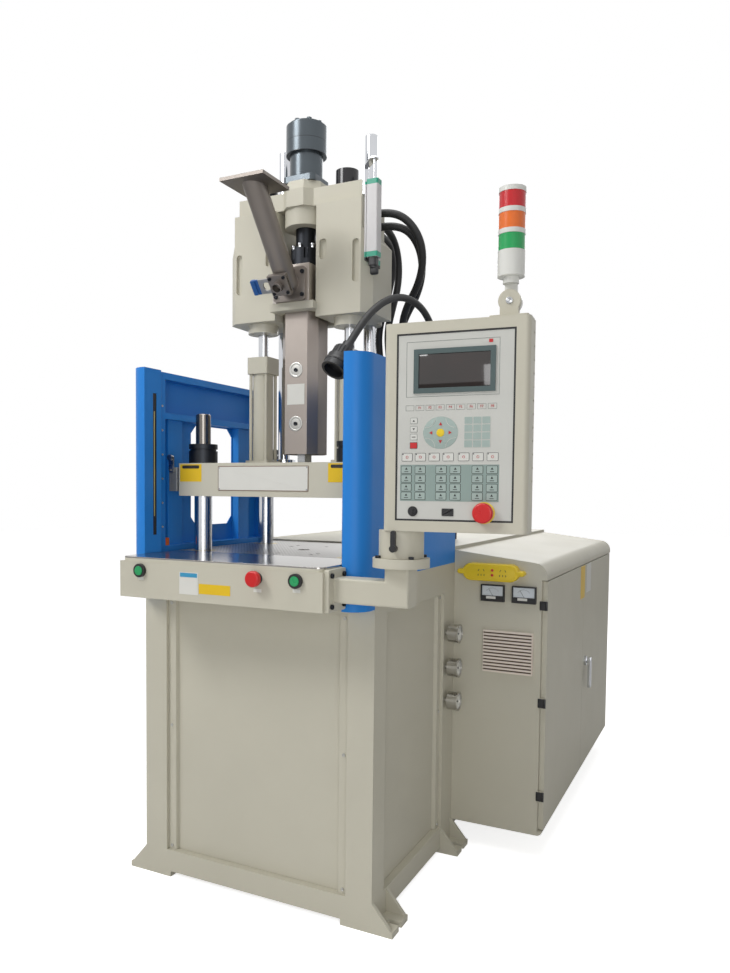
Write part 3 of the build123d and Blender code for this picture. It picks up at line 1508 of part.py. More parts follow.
# Control box: sheet case with side slots, pedestal sleeve and stack light foot
box_mid_x = box_left + box_width / 2
box_mid_y = box_front + box_depth / 2
box_mid_z = box_bottom + box_height / 2
box_top = box_bottom + box_height
box_sheet = 4
panel_width = 262
panel_tall = 412
slot_count = 13
light_x = box_left + box_width - 50
light_pivot_z = box_top + 37
disc_radius = 24
disc_thick = 15
sleeve_bottom = flange_low + flange_thickness + 0.3
with BuildPart() as control_box:
    with BuildSketch(level_plane(box_mid_x, box_mid_y, box_bottom)):
        RectangleRounded(box_width, box_depth, 12)
    extrude(amount=box_height)
    with BuildSketch(level_plane(box_mid_x, box_mid_y, box_bottom + box_sheet)):
        Rectangle(box_width - 2 * box_sheet, box_depth - 2 * box_sheet)
    extrude(amount=box_height - 2 * box_sheet, mode=Mode.SUBTRACT)
    with BuildSketch(facing_plane(box_mid_x, box_front, box_mid_z)):
        Rectangle(panel_width, panel_tall)
    extrude(amount=-box_sheet, mode=Mode.SUBTRACT)
    for slot in range(slot_count):
        slot_z = box_mid_z + 55 + (slot - (slot_count - 1) / 2) * 29
        with BuildSketch(level_plane(box_left + box_width - box_sheet / 2, box_mid_y + 20, slot_z)):
            Rectangle(2 * box_sheet, 18)
        extrude(amount=4, mode=Mode.SUBTRACT)
    with BuildSketch(level_plane(0, 0, sleeve_bottom)):
        Circle(pedestal_radius)
    extrude(amount=box_bottom - sleeve_bottom)
    with BuildSketch(level_plane(0, 0, sleeve_bottom)):
        Circle(stub_radius + running_gap)
    extrude(amount=box_bottom - sleeve_bottom - 2, mode=Mode.SUBTRACT)
    # foot of the stack light with its front hinge disc and pin
    with BuildSketch(level_plane(light_x, box_mid_y, box_top)):
        RectangleRounded(84, 42, 6)
    extrude(amount=7)
    with BuildSketch(facing_plane(light_x, box_mid_y - 0.15, light_pivot_z)):
        Circle(disc_radius)
        with Locations((0, -disc_radius / 2 - 8)):
            Rectangle(2 * disc_radius - 8, disc_radius)
    extrude(amount=disc_thick)
    with BuildSketch(facing_plane(light_x, box_mid_y + disc_thick, light_pivot_z)):
        Circle(4)
    extrude(amount=disc_thick + 1)
save(control_box.part, "control_box", cream)

# Control panel: plate in the box's opening with a raised screen bezel
panel_gap_edge = 3
screen_x = 131
screen_z = 1394
screen_width = 180
screen_height = 96
stop_local = (201, 1086)
key_local = (42, 1087)
port_local = (121, 1086)
panel_back = box_front + box_sheet
with BuildPart() as control_panel:
    with BuildSketch(facing_plane(box_mid_x, panel_back, box_mid_z)):
        Rectangle(panel_width - 2 * panel_gap_edge, panel_tall - 2 * panel_gap_edge)
    extrude(amount=box_sheet - 1)
    with BuildSketch(facing_plane(box_mid_x, panel_back, box_mid_z)):
        Rectangle(panel_width + 20, panel_tall + 20)
    extrude(amount=-2)
    with BuildSketch(facing_plane(screen_x, box_front + 1, screen_z)):
        Rectangle(screen_width, screen_height)
        Rectangle(screen_width - 22, screen_height - 22, mode=Mode.SUBTRACT)
    extrude(amount=4)
    extrude_depth = box_sheet + 2
    for local_x, local_z, radius in (
        (stop_local[0], stop_local[1], 9 + running_gap),
        (key_local[0], key_local[1], 8 + running_gap),
    ):
        with BuildSketch(facing_plane(local_x, box_front, local_z)):
            Circle(radius)
        extrude(amount=-extrude_depth, mode=Mode.SUBTRACT)
    with BuildSketch(facing_plane(port_local[0], box_front, port_local[1])):
        Rectangle(17, 9)
    extrude(amount=-extrude_depth, mode=Mode.SUBTRACT)
save(control_panel.part, "control_panel", steel)

# Key switch in the panel
with BuildPart() as key_switch:
    with BuildSketch(facing_plane(key_local[0], box_front + 14, key_local[1])):
        Circle(8)
    extrude(amount=14 + 3)
    with BuildSketch(facing_plane(key_local[0], box_front - 3, key_local[1])):
        Rectangle(3, 13)
    extrude(amount=3)
save(key_switch.part, "key_switch", dark)

# Emergency stop on the panel: mushroom head on a stem
panel_stop_travel = 5
with BuildPart() as panel_stop_button:
    with BuildSketch(facing_plane(stop_local[0], box_front + 12, stop_local[1])):
        Circle(9)
    extrude(amount=12 + 12)
    with BuildSketch(facing_plane(stop_local[0], box_front - 10, stop_local[1])):
        Circle(22)
    extrude(amount=13)
    fillet(panel_stop_button.faces().sort_by(Axis.Y)[0].edges(), 5)
save(panel_stop_button.part, "panel_stop_button", red)

# Clamp lever: hub and arm on the front of the sleeve
lever_hub_z = sleeve_bottom + 24
with BuildPart() as clamp_lever:
    with BuildSketch(facing_plane(0, -pedestal_radius - 0.3, lever_hub_z)):
        Circle(8)
    extrude(amount=16)
    with BuildSketch(facing_plane(0, -pedestal_radius - 6, lever_hub_z + 18)):
        SlotOverall(46, 11, rotation=90)
    extrude(amount=9)
save(clamp_lever.part, "clamp_lever", dark)

# Stack light: hinge disc, neck, base, three lenses with rings, cap
tier_gap = 10
tier_height = 34
with BuildPart() as stack_light:
    with BuildSketch(facing_plane(light_x, box_mid_y + disc_thick, light_pivot_z)):
        Circle(disc_radius)
    extrude(amount=disc_thick - 0.15)
    with BuildSketch(facing_plane(light_x, box_mid_y + disc_thick - 1, light_pivot_z + 28)):
        Rectangle(26, 36)
    extrude(amount=disc_thick - 2)
    with BuildSketch(level_plane(light_x, box_mid_y, light_pivot_z + 38)):
        Circle(17)
    extrude(amount=22)
    with BuildSketch(level_plane(light_x, box_mid_y, light_pivot_z + 52)):
        Circle(light_radius)
    extrude(amount=54)
    for tier in range(3):
        tier_z = light_pivot_z + 106 + tier * (tier_height + tier_gap)
        with BuildSketch(level_plane(light_x, box_mid_y, tier_z)):
            Circle(light_radius - 1)
        extrude(amount=tier_height)
        with BuildSketch(level_plane(light_x, box_mid_y, tier_z + tier_height)):
            Circle(light_radius)
        extrude(amount=tier_gap)
    with BuildSketch(facing_plane(light_x, box_mid_y + disc_thick, light_pivot_z)):
        Circle(4 + running_gap)
    extrude(amount=disc_thick, mode=Mode.SUBTRACT)
save(stack_light.part, "stack_light", red)

# Button collars on the beam: two bezels and the emergency stop's base
collar_depth = 9
with BuildPart() as button_collars:
    with BuildSketch(Plane.XZ.offset(-beam_front)):
        with Locations((-button_x, button_z), (button_x, button_z)):
            Circle(18)
            Circle(12 + running_gap, mode=Mode.SUBTRACT)
        with Locations((stop_x, button_z)):
            Circle(15)
            Circle(9 + running_gap, mode=Mode.SUBTRACT)
    extrude(amount=collar_depth)
save(button_collars.part, "button_collars", dark)

# Beam buttons: two green push buttons and a red mushroom
for label, x in (("start_button_left", -button_x), ("start_button_right", button_x)):
    with BuildPart() as start_button:
        with BuildSketch(Plane.XZ.offset(-beam_front + 4)):
            with Locations((x, button_z)):
                Circle(12)
        extrude(amount=7)
        with BuildSketch(Plane.XZ.offset(-beam_front - beam_wall - 6)):
            with Locations((x, button_z)):
                Circle(7)
        extrude(amount=beam_wall + 6 + 4)
    save(start_button.part, label, green)

with BuildPart() as beam_stop_button:
    with BuildSketch(Plane.XZ.offset(-beam_front - beam_wall - 6)):
        with Locations((stop_x, button_z)):
            Circle(9)
    extrude(amount=beam_wall + 6 + 16)
    with BuildSketch(Plane.XZ.offset(-beam_front + 15)):
        with Locations((stop_x, button_z)):
            Circle(20)
    extrude(amount=13)
    fillet(beam_stop_button.faces().sort_by(Axis.Y)[0].edges(), 5)
save(beam_stop_button.part, "beam_stop_button", red)


def hose_path(points):
    """A path of straight runs with one arc at each inner point of the route."""
    vectors = [Vector(*p) for p in points]
    radii = []
    for before, here, after in zip(vectors, vectors[1:], vectors[2:]):
        turn = radians((here - before).get_angle(after - here))
        run = min((here - before).length, (after - here).length)
        half_tan = sin(turn / 2) / cos(turn / 2)
        radii.append(0.45 * run / half_tan)
    return FilletPolyline(*vectors, radius=radii), radii


def hose_solid(points, radius):
    """A round hose along the route, with the radii of its arcs."""
    path, radii = hose_path(points)
    with BuildPart(mode=Mode.PRIVATE) as hose:
        start = Plane(origin=points[0], z_dir=path % 0)
        with BuildSketch(start):
            Circle(radius)
        sweep(path=path)
    return hose.part, path.length, radii


# Heater cable: free cord from the gland over to a round plug
cable_radius = 10
cable_route = [
    (gland_x, gland_y, guard_top + 26),
    (gland_x, gland_y, guard_top + 86),
    (gland_x - 2, gland_y - 24, guard_top + 142),
    (gland_x - 6, gland_y - 78, guard_top + 182),
    (gland_x - 14, gland_y - 144, guard_top + 200),
    (gland_x - 26, gland_y - 212, guard_top + 200),
    (gland_x - 42, gland_y - 280, guard_top + 178),
    (gland_x - 58, gland_y - 338, guard_top + 138),
    (gland_x - 72, gland_y - 386, guard_top + 88),
    (gland_x - 84, gland_y - 422, guard_top + 38),
]
heater_cable, cable_length, cable_radii = hose_solid(cable_route, cable_radius)
print("heater cable length", round(cable_length, 1))
print("heater cable radii", [round(r) for r in cable_radii])
save(heater_cable, "heater_cable", dark)

# Heater plug: grip, knurled ring and pin face along the cable's last run
plug_dir = Vector(*cable_route[-1]) - Vector(*cable_route[-2])
plug_plane = Plane(origin=cable_route[-1], z_dir=tuple(plug_dir))
with BuildPart() as heater_plug:
    with BuildSketch(plug_plane):
        Circle(16)
    extrude(amount=22)
    with BuildSketch(plug_plane.offset(22)):
        Circle(27)
    extrude(amount=34)
    with BuildSketch(plug_plane.offset(52)):
        Circle(33)
    extrude(amount=38)
    with BuildSketch(plug_plane.offset(90)):
        Circle(26)
    extrude(amount=-20, mode=Mode.SUBTRACT)
save(heater_plug.part, "heater_plug", dark)

# Upper hoses: two arch out of the casting's side, two leave its back
hose_radius = 11
bulkhead_y = platen_rear + 20
hose_slots = [bulkhead_x + (slot - 1.5) * 32 for slot in range(4)]
hose_routes = [
    [
        (wing_upper, 14, 1928), (254, 14, 1928), (300, 32, 1908), (330, 62, 1858),
        (328, 94, 1798), (298, 130, 1742), (246, 168, 1692), (216, 200, 1634),
        (230, 238, 1550), (hose_slots[3], bulkhead_y, 1400), (hose_slots[3], bulkhead_y, platen_top),
    ],
    [
        (wing_upper, 46, 1900), (250, 46, 1900), (292, 70, 1886), (314, 104, 1840),
        (310, 138, 1780), (276, 180, 1724), (222, 220, 1672), (188, 243, 1608),
        (200, 247, 1528), (hose_slots[2], bulkhead_y, 1390), (hose_slots[2], bulkhead_y, platen_top),
    ],
    [
        (200, wing_rear, 1918), (200, 122, 1918), (203, 176, 1892), (202, 212, 1838),
        (194, 226, 1770), (176, 224, 1702), (158, 226, 1632), (160, 240, 1550),
        (hose_slots[1], bulkhead_y, 1440), (hose_slots[1], bulkhead_y, platen_top),
    ],
    [
        (200, wing_rear, 1884), (200, 114, 1884), (199, 158, 1862), (192, 188, 1816),
        (178, 196, 1756), (156, 200, 1692), (134, 212, 1624), (130, 236, 1550),
        (hose_slots[0], bulkhead_y, 1440), (hose_slots[0], bulkhead_y, platen_top),
    ],
]
upper_parts = []
for route in hose_routes:
    hose, length, radii = hose_solid(route, hose_radius)
    print("upper hose length", round(length), "smallest arc", round(min(radii)))
    upper_parts.append(hose)
save(Compound(children=upper_parts), "upper_hoses", dark)

# Lower hoses: from the bulkhead down to the rear housing's top, with slack
lower_parts = []
for slot_x in hose_slots:
    route = [
        (slot_x, bulkhead_y, platen_top - bulkhead_height),
        (slot_x, bulkhead_y, 1112),
        (slot_x, bulkhead_y + 8, 1052),
        (slot_x, bulkhead_y + 48, 1000),
        (slot_x, bulkhead_y + 108, 982),
        (slot_x, bulkhead_y + 173, 1006),
        (slot_x, bulkhead_y + 215, 1064),
        (slot_x, bulkhead_y + 215, 1134),
        (slot_x, bulkhead_y + 256, 1192),
        (slot_x, bulkhead_y + 323, 1214),
        (slot_x, bulkhead_y + 390, 1192),
        (slot_x, bulkhead_y + 430, 1134),
        (slot_x, bulkhead_y + 434, 1070),
        (slot_x, bulkhead_y + 434, housing_top),
    ]
    hose, length, radii = hose_solid(route, hose_radius)
    lower_parts.append(hose)
print("lower hose length", round(length), "smallest arc", round(min(radii)))
save(Compound(children=lower_parts), "lower_hoses", dark)
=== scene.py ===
# %% [markdown]
# # A vertical injection moulding machine in Blender
#
# The solids of this machine come from a CAD model. Here they get their paints, metals and
# plastics, and the small things that a CAD model leaves out: screws, dials, keys, hoses and
# cables. Each cell makes one thing.

# %% The frame, and the tools used below
import json
import math

import bmesh
import bpy
from mathutils import Matrix, Vector


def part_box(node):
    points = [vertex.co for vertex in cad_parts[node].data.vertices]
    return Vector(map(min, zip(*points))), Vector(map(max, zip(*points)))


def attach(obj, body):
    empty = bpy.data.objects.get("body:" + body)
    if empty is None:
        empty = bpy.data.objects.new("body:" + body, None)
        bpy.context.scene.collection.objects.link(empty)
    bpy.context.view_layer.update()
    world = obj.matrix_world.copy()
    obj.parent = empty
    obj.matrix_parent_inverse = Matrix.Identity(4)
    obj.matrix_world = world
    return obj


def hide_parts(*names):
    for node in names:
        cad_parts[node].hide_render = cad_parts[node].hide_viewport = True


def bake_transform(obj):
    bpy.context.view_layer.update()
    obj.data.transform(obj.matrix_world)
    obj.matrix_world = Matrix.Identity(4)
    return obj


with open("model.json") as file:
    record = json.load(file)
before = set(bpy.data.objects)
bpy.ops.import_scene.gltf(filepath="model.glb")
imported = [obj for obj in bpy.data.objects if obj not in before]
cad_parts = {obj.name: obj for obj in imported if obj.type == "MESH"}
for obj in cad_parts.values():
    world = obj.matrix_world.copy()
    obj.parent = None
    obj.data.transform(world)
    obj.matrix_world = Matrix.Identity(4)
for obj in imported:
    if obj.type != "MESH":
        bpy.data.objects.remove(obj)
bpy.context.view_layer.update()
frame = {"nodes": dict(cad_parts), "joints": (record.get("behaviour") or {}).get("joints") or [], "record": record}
nodes = frame["nodes"]

# %% [markdown]
# ## Camera
#
# The photograph was taken from the right of the machine's middle, at about the height of the
# moving platen, with a lens a little wider than normal. The camera's place was found by
# matching the corners of the base, the table and the cabinet. The vertical lines stay almost
# upright, so the picture's middle is moved with the lens shift and the camera hardly tilts.

# %% Camera
def new_object(name, data):
    """An object in the scene."""
    made = bpy.data.objects.new(name, data)
    bpy.context.scene.collection.objects.link(made)
    return made


picture_width, picture_height = 730, 973
focal_pixels = 800.2
centre_column, centre_row = 335.5, 527.3
camera_place = Vector((1.1793, -2.1312, 1.1365))
camera_yaw, camera_pitch, camera_roll = 26.955, 2.792, 0.505

camera_data = bpy.data.cameras.new("camera")
camera_data.sensor_fit = "VERTICAL"
camera_data.sensor_height = 36
camera_data.lens = focal_pixels * camera_data.sensor_height / picture_height
camera_data.shift_x = (picture_width / 2 - centre_column) / picture_height
camera_data.shift_y = (centre_row - picture_height / 2) / picture_height
camera_data.clip_end = 60
camera = new_object("camera", camera_data)
camera.matrix_world = (
    Matrix.Translation(camera_place)
    @ Matrix.Rotation(math.radians(camera_yaw), 4, "Z")
    @ Matrix.Rotation(math.radians(90 - camera_pitch), 4, "X")
    @ Matrix.Rotation(math.radians(camera_roll), 4, "Z")
)
bpy.context.scene.camera = camera
bpy.context.scene.view_settings.view_transform = "Standard"
print("lens", round(camera_data.lens, 2), "mm")

# %% [markdown]
# ## Shader maths as plain expressions
#
# A procedural finish is arithmetic on patterns. A small class wraps a node's output, so that
# `noise * 0.3 + 0.5` builds the Math nodes by itself. Every other kind of node comes from one
# method that takes its type, its settings and the values or links of its sockets.

# %% A node's output that can be used in sums and products
class Pattern:
    """A node's output, with arithmetic."""

    def __init__(self, shading, socket):
        self.shading = shading
        self.socket = socket

    def math(self, operation, *values):
        """A Math node's result."""
        inputs = dict(enumerate(values))
        return self.shading.node("ShaderNodeMath", {"operation": operation}, inputs)

    def __add__(self, other):
        return self.math("ADD", self, other)

    def __mul__(self, other):
        return self.math("MULTIPLY", self, other)

    def __gt__(self, other):
        return self.math("GREATER_THAN", self, other)

    def __lt__(self, other):
        return self.math("LESS_THAN", self, other)


# %% A node tree, with one method for every kind of node
class Shading:
    """A node tree under construction."""

    def __init__(self, tree):
        self.tree = tree

    def node(self, kind, settings=None, inputs=None, output=0):
        """Any node: its type, then its settings, then the values or links of its sockets."""
        made = self.tree.nodes.new(kind)
        for key, value in (settings or {}).items():
            setattr(made, key, value)
        for key, value in (inputs or {}).items():
            if isinstance(value, Pattern):
                self.tree.links.new(value.socket, made.inputs[key])
            else:
                made.inputs[key].default_value = value
        return Pattern(self, made.outputs[output])

    def mix(self, mask, low, high):
        """A colour from low, where the mask is 0, to high, where it is 1."""
        ends = [end if isinstance(end, Pattern) else (*end, 1) for end in (low, high)]
        inputs = {0: mask, 6: ends[0], 7: ends[1]}
        return self.node("ShaderNodeMix", {"data_type": "RGBA"}, inputs, output=2)


# %% A material with its Principled shader
finish_named = {}


class Finish(Shading):
    """One material. Constants go on the shader's own sockets, patterns through use()."""

    def __init__(self, name, color, roughness, metallic=0.0, **constants):
        self.material = bpy.data.materials.new(name)
        self.material.use_nodes = True
        self.material.diffuse_color = (*color, 1)
        super().__init__(self.material.node_tree)
        self.shader = self.tree.nodes["Principled BSDF"]
        finish_named[name] = self
        constants.update(base_color=(*color, 1), roughness=roughness, metallic=metallic)
        for socket, value in constants.items():
            self.shader.inputs[self.title(socket)].default_value = value

    def title(self, name):
        """The socket's name on the shader: base_color is Base Color."""
        return name.replace("_", " ").title().replace("Ior", "IOR")

    def use(self, **patterns):
        """Joins patterns to the shader's sockets."""
        for name, value in patterns.items():
            self.tree.links.new(value.socket, self.shader.inputs[self.title(name)])
        return self

    def band(self, way, low, high):
        """1 between two distances along a direction, and 0 elsewhere."""
        distance = self.along(way)
        return (distance > low) * (distance < high)

    def along(self, way):
        """How far a point lies along a direction, in metres from the origin."""
        coordinates = self.node("ShaderNodeTexCoord", output="Object")
        product = {"operation": "DOT_PRODUCT"}
        return self.node("ShaderNodeVectorMath", product, {0: coordinates, 1: way}, "Value")

    def noise(self, scale, detail, stretch=(1, 1, 1)):
        """Soft noise, with scale cells to a metre."""
        coordinates = self.node("ShaderNodeTexCoord", output="Object")
        place = self.node("ShaderNodeMapping", None, {"Vector": coordinates, "Scale": stretch})
        inputs = {"Vector": place, "Scale": scale, "Detail": detail}
        return self.node("ShaderNodeTexNoise", None, inputs)

    def relief(self, height, distance, edge):
        """Relief of a depth in metres, on a normal with its sharp edges rounded."""
        rounded = self.node("ShaderNodeBevel", {"samples": 4}, {"Radius": edge})
        inputs = {"Height": height, "Distance": distance, "Strength": 1.0, "Normal": rounded}
        return self.node("ShaderNodeBump", None, inputs)


def srgb(red, green, blue):
    """A colour as a paint chart gives it, 0 to 255, as the shader's linear numbers."""
    return tuple(((v / 255 + 0.055) / 1.055) ** 2.4 for v in (red, green, blue))


def shaded(color, share):
    """A lighter or darker tone of a colour."""
    return tuple(min(1, v * share) for v in color)


# %% [markdown]
# ## Light, floor and background
#
# A product photograph of a painted machine has soft light from above and from the left, on a
# white ground. Large area lamps give soft edges, and the world fills the shadows. The floor and
# the world look white to the camera and in reflections, but add no more light to the machine.

# %% Soft lamps
lamp_target = Vector((0.1, 0.2, 1.1))


def soft_lamp(name, place, size, power):
    """A square area lamp, turned to the middle of the machine."""
    data = bpy.data.lights.new(name, "AREA")
    data.shape = "SQUARE"
    data.size = size
    data.energy = power
    lamp = new_object(name, data)
    lamp.location = place
    lamp.rotation_euler = (lamp_target - Vector(place)).to_track_quat("-Z", "Y").to_euler()


soft_lamp("key_lamp", (-1.9, -3.1, 4.1), 1.7, 104)
soft_lamp("top_lamp", (0.2, -0.4, 4.8), 2.6, 72)
soft_lamp("right_lamp", (2.2, -3.8, 1.4), 1.8, 38)
soft_lamp("back_lamp", (-0.7, 4.6, 3.0), 2.4, 50)
print("lamps", len(bpy.data.lights))

# %% White world and floor
world_light = 0.22
floor_glow = 0.78

world = bpy.data.worlds.new("white_room")
bpy.context.scene.world = world
world.use_nodes = True
sky = Shading(world.node_tree)
seen = sky.node("ShaderNodeLightPath", output="Is Camera Ray")
for kind in ("Glossy", "Transmission"):
    seen = seen.math("MAXIMUM", seen, sky.node("ShaderNodeLightPath", output=f"Is {kind} Ray"))
strength = seen * (1 - world_light) + world_light
background = world.node_tree.nodes["Background"]
background.inputs["Color"].default_value = (1, 1, 1, 1)
world.node_tree.links.new(strength.socket, background.inputs["Strength"])

floor_size = 30
bpy.ops.mesh.primitive_plane_add(size=floor_size, location=(0, 5, 0))
floor = bpy.context.object
floor.name = "floor"
ground = Finish("white_ground", (0.8, 0.8, 0.8), 0.9, emission_strength=1.0)
camera_ray = ground.node("ShaderNodeLightPath", output="Is Camera Ray")
ground.use(emission_color=ground.mix(camera_ray, (0, 0, 0), (floor_glow,) * 3))
floor.data.materials.append(ground.material)
print("floor and world are white")

# %% [markdown]
# ## Finishes
#
# Sheet metal machines are sprayed with a thick enamel that dries with a slight orange peel.
# Ground steel has fine scratches along one way, chrome is smooth, rubber and moulded plastic
# are dull with a fine grain. Edges of real parts are never quite sharp, so the shader's normal
# is rounded there by a bevel of a millimetre or two.

# %% Paints
peel_depth, paint_edge = 0.00012, 0.0016


def enamel(name, color):
    """Sprayed enamel: orange peel, slight shade changes and dulled patches."""
    paint = Finish(name, color, 0.5, specular_ior_level=0.3, coat_weight=0.08, coat_roughness=0.25)
    cloud = paint.noise(3.5, 3)
    cells = paint.noise(420, 1)
    paint.use(
        base_color=paint.mix(cloud, shaded(color, 0.93), shaded(color, 1.05)),
        roughness=paint.noise(9, 3) * 0.16 + 0.42,
        normal=paint.relief(cells, peel_depth, paint_edge),
    )
    return paint


cream = srgb(197, 193, 177)
enamel("cream_paint", cream)
enamel("blue_paint", srgb(34, 128, 212))
grille_paint = enamel("grille_paint", srgb(230, 218, 206))
print("paints ready")

# %% Metals
scratch_depth, metal_edge = 0.00003, 0.0008


def metal(name, color, roughness, grain=(1, 1, 1), grain_scale=900, wear=0.12):
    """Worked metal: fine marks along one way and a cloudy sheen."""
    piece = Finish(name, color, roughness, 1.0)
    marks = piece.noise(grain_scale, 2, grain)
    piece.use(
        base_color=piece.mix(piece.noise(7, 4), shaded(color, 0.82), color),
        roughness=marks * wear + (roughness - wear / 2),
        normal=piece.relief(marks, scratch_depth, metal_edge),
    )
    return piece


ground_steel = metal("ground_steel", srgb(182, 184, 186), 0.28, (0.06, 1, 1))
dark_steel = metal("dark_steel", srgb(54, 56, 60), 0.42)
stainless = metal("stainless", srgb(196, 195, 190), 0.3, (1, 1, 0.04))
metal("hard_chrome", srgb(214, 216, 220), 0.12, (1, 1, 0.02), 500, 0.05)
metal("bronze", srgb(196, 176, 118), 0.32)
metal("grey_aluminium", srgb(168, 176, 184), 0.36)
print("metals ready")

# %% Plastics and rubber
moulded_edge = 0.0006


def plastic(name, color, roughness, grain=0.00005, scale=1400):
    """Moulded plastic or rubber with a fine grain."""
    piece = Finish(name, color, roughness)
    piece.use(
        base_color=piece.mix(piece.noise(11, 3), shaded(color, 0.88), color),
        roughness=piece.noise(25, 2) * 0.12 + (roughness - 0.06),
        normal=piece.relief(piece.noise(scale, 2), grain, moulded_edge),
    )
    return piece


black_rubber = plastic("black_rubber", srgb(26, 26, 27), 0.55, 0.00008, 700)
black_plastic = plastic("black_plastic", srgb(30, 30, 32), 0.4)
plastic("panel_film", srgb(222, 224, 216), 0.45, 0.00002, 1800)
plastic("red_plastic", srgb(206, 28, 30), 0.28, 0.00001)
plastic("green_plastic", srgb(40, 160, 96), 0.28, 0.00001)
yellow_plastic = plastic("yellow_plastic", srgb(236, 204, 40), 0.38)
print("finishes", len(finish_named))

# %% [markdown]
# ## Finishes of single pieces
#
# Some pieces are one solid in the CAD model and several colours on the real machine: a signal
# tower with three lenses, a sensor with green end caps, a steel bar whose threaded end is dull.
# Their colour changes at a height, so the shader compares the point's height with two limits.

# %% Colours that change with the height
up, front, right = (0, 0, 1), (0, -1, 0), (1, 0, 0)
own_finish = {}


def banded(node, name, color, bands, roughness, metallic=0.0, band_metallic=0.0, reach=2.0):
    """A node's finish, with bands of other colours between two heights, within a reach of x."""
    piece = Finish(name, color, roughness, metallic)
    shade = piece.mix(piece.noise(11, 3), shaded(color, 0.9), color)
    shine = metallic
    for low, high, band_color in bands:
        mask = piece.band(up, low, high) * piece.band(right, -reach, reach)
        shade = piece.mix(mask, shade, band_color)
        shine = mask * (band_metallic - metallic) + shine
    piece.use(
        base_color=shade,
        metallic=shine,
        roughness=piece.noise(25, 2) * 0.12 + (roughness - 0.06),
        normal=piece.relief(piece.noise(900, 2), scratch_depth, moulded_edge),
    )
    own_finish[node] = piece


lens_tall = 0.034
lenses = [(1.645, srgb(22, 158, 84)), (1.689, srgb(228, 110, 34)), (1.733, srgb(196, 26, 34))]
lens_bands = [(z, z + lens_tall, color) for z, color in lenses]
banded("stack_light", "tower_plastic", srgb(222, 222, 216), lens_bands, 0.2)

cap_green = srgb(38, 150, 122)
sensor_bands = [
    (1.0, 1.768, srgb(26, 26, 28)), (1.768, 1.782, cap_green), (1.962, 1.977, cap_green)
]
banded("position_sensor", "sensor_shell", srgb(206, 204, 204), sensor_bands, 0.36)

sensor_orange = [(0.9, 1.0, srgb(214, 96, 34))]
banded("guard_switches", "switch_grey", srgb(150, 152, 150), sensor_orange, 0.4, 0.3)

chrome = srgb(206, 208, 212)
nut_black = [(2.0, 2.1, srgb(34, 33, 36))]
banded("injection_rods", "rod_chrome", chrome, nut_black, 0.14, 1.0, reach=0.19)

dull_neck = [(1.262, 1.4, srgb(122, 117, 112))]
banded("tie_bars", "bar_chrome", chrome, dull_neck, 0.16, 1.0, 0.9)

painted_flange = [(1.6035, 1.64, cream)]
banded("carriage_rods", "flange_chrome", chrome, painted_flange, 0.2, 1.0)

joint_lines = [(z, z + 0.0015, srgb(34, 38, 44)) for z in (2.15, 2.112)]
banded("hydraulic_motor", "motor_grey", srgb(86, 93, 98), joint_lines, 0.3, 0.7)
print("finishes", len(finish_named))

# %% Steels with their own tone
# Painted shade: a dark brown sheet that stands for the shadow inside the grille's gaps.
painted_gap_shade = plastic("painted_gap_shade", srgb(96, 80, 68), 0.8)
own_finish["pressure_gauges"] = metal("gauge_steel", srgb(206, 204, 200), 0.2, (1, 1, 1), 500, 0.08)
own_finish["feed_chute"] = metal("chute_steel", srgb(142, 135, 129), 0.48, (1, 1, 1), 1300, 0.2)
own_finish["throat_block"] = metal("throat_steel", srgb(184, 177, 170), 0.4, (1, 1, 0.1), 900, 0.2)
own_finish["barrel_cover"] = metal("cover_steel", srgb(168, 159, 152), 0.34, (1, 1, 0.04), 900, 0.2)
gate_grey = srgb(170, 168, 164)
gate_steel = metal("gate_steel", gate_grey, 0.4)
gate_tip = gate_steel.band(right, -1.0, -0.066)
gate_shade = gate_steel.mix(gate_tip, gate_grey, srgb(40, 92, 158))
own_finish["slide_gate"] = gate_steel.use(base_color=gate_shade, metallic=gate_tip * -0.8 + 1.0)
own_finish["vent_grille"] = grille_paint
print("steels ready")

# %% [markdown]
# The front of the console is one sheet: a pale printed film with a raised grey bezel round the
# screen. The bezel stands four millimetres proud, so the shader finds it by its distance from
# the console's axis, along the direction in which the emergency stop is pushed.

# %% The console's own directions and the film with its bezel
joints = {joint["name"]: joint for joint in frame["joints"]}
console_axis = Vector(joints["console_swivel"]["pos_m"])
push_way = Vector(joints["panel_stop_push"]["axis"])
console_turn = math.atan2(-push_way.x, push_way.y)
console_place = (
    Matrix.Translation((console_axis.x, console_axis.y, 0)) @ Matrix.Rotation(console_turn, 4, "Z")
)
film_face = -0.054
bezel_edge = console_axis.dot(push_way) + film_face - 0.0005

printed_film = plastic("printed_film", srgb(214, 214, 207), 0.42, 0.00002, 1800)
bezel_grey = srgb(70, 86, 86)
film_shade = printed_film.mix(printed_film.noise(9, 3), srgb(192, 192, 186), srgb(202, 202, 196))
bezel_mask = printed_film.band(tuple(push_way), -2.0, bezel_edge)
printed_film.use(base_color=printed_film.mix(bezel_mask, film_shade, bezel_grey))
own_finish["control_panel"] = printed_film
print("console turned", round(math.degrees(console_turn), 2), "degrees")

# %% [markdown]
# The table is ground along the machine's width and polished where the moulds slide in from the
# front. Behind that band it is covered with rows of short oil marks, 16 mm apart. A sine along
# the width and one along a slanted line cross to give one dash in each cell of the pattern.
# Only the plate's upper lip is bare: below it the edge is painted like the beam.

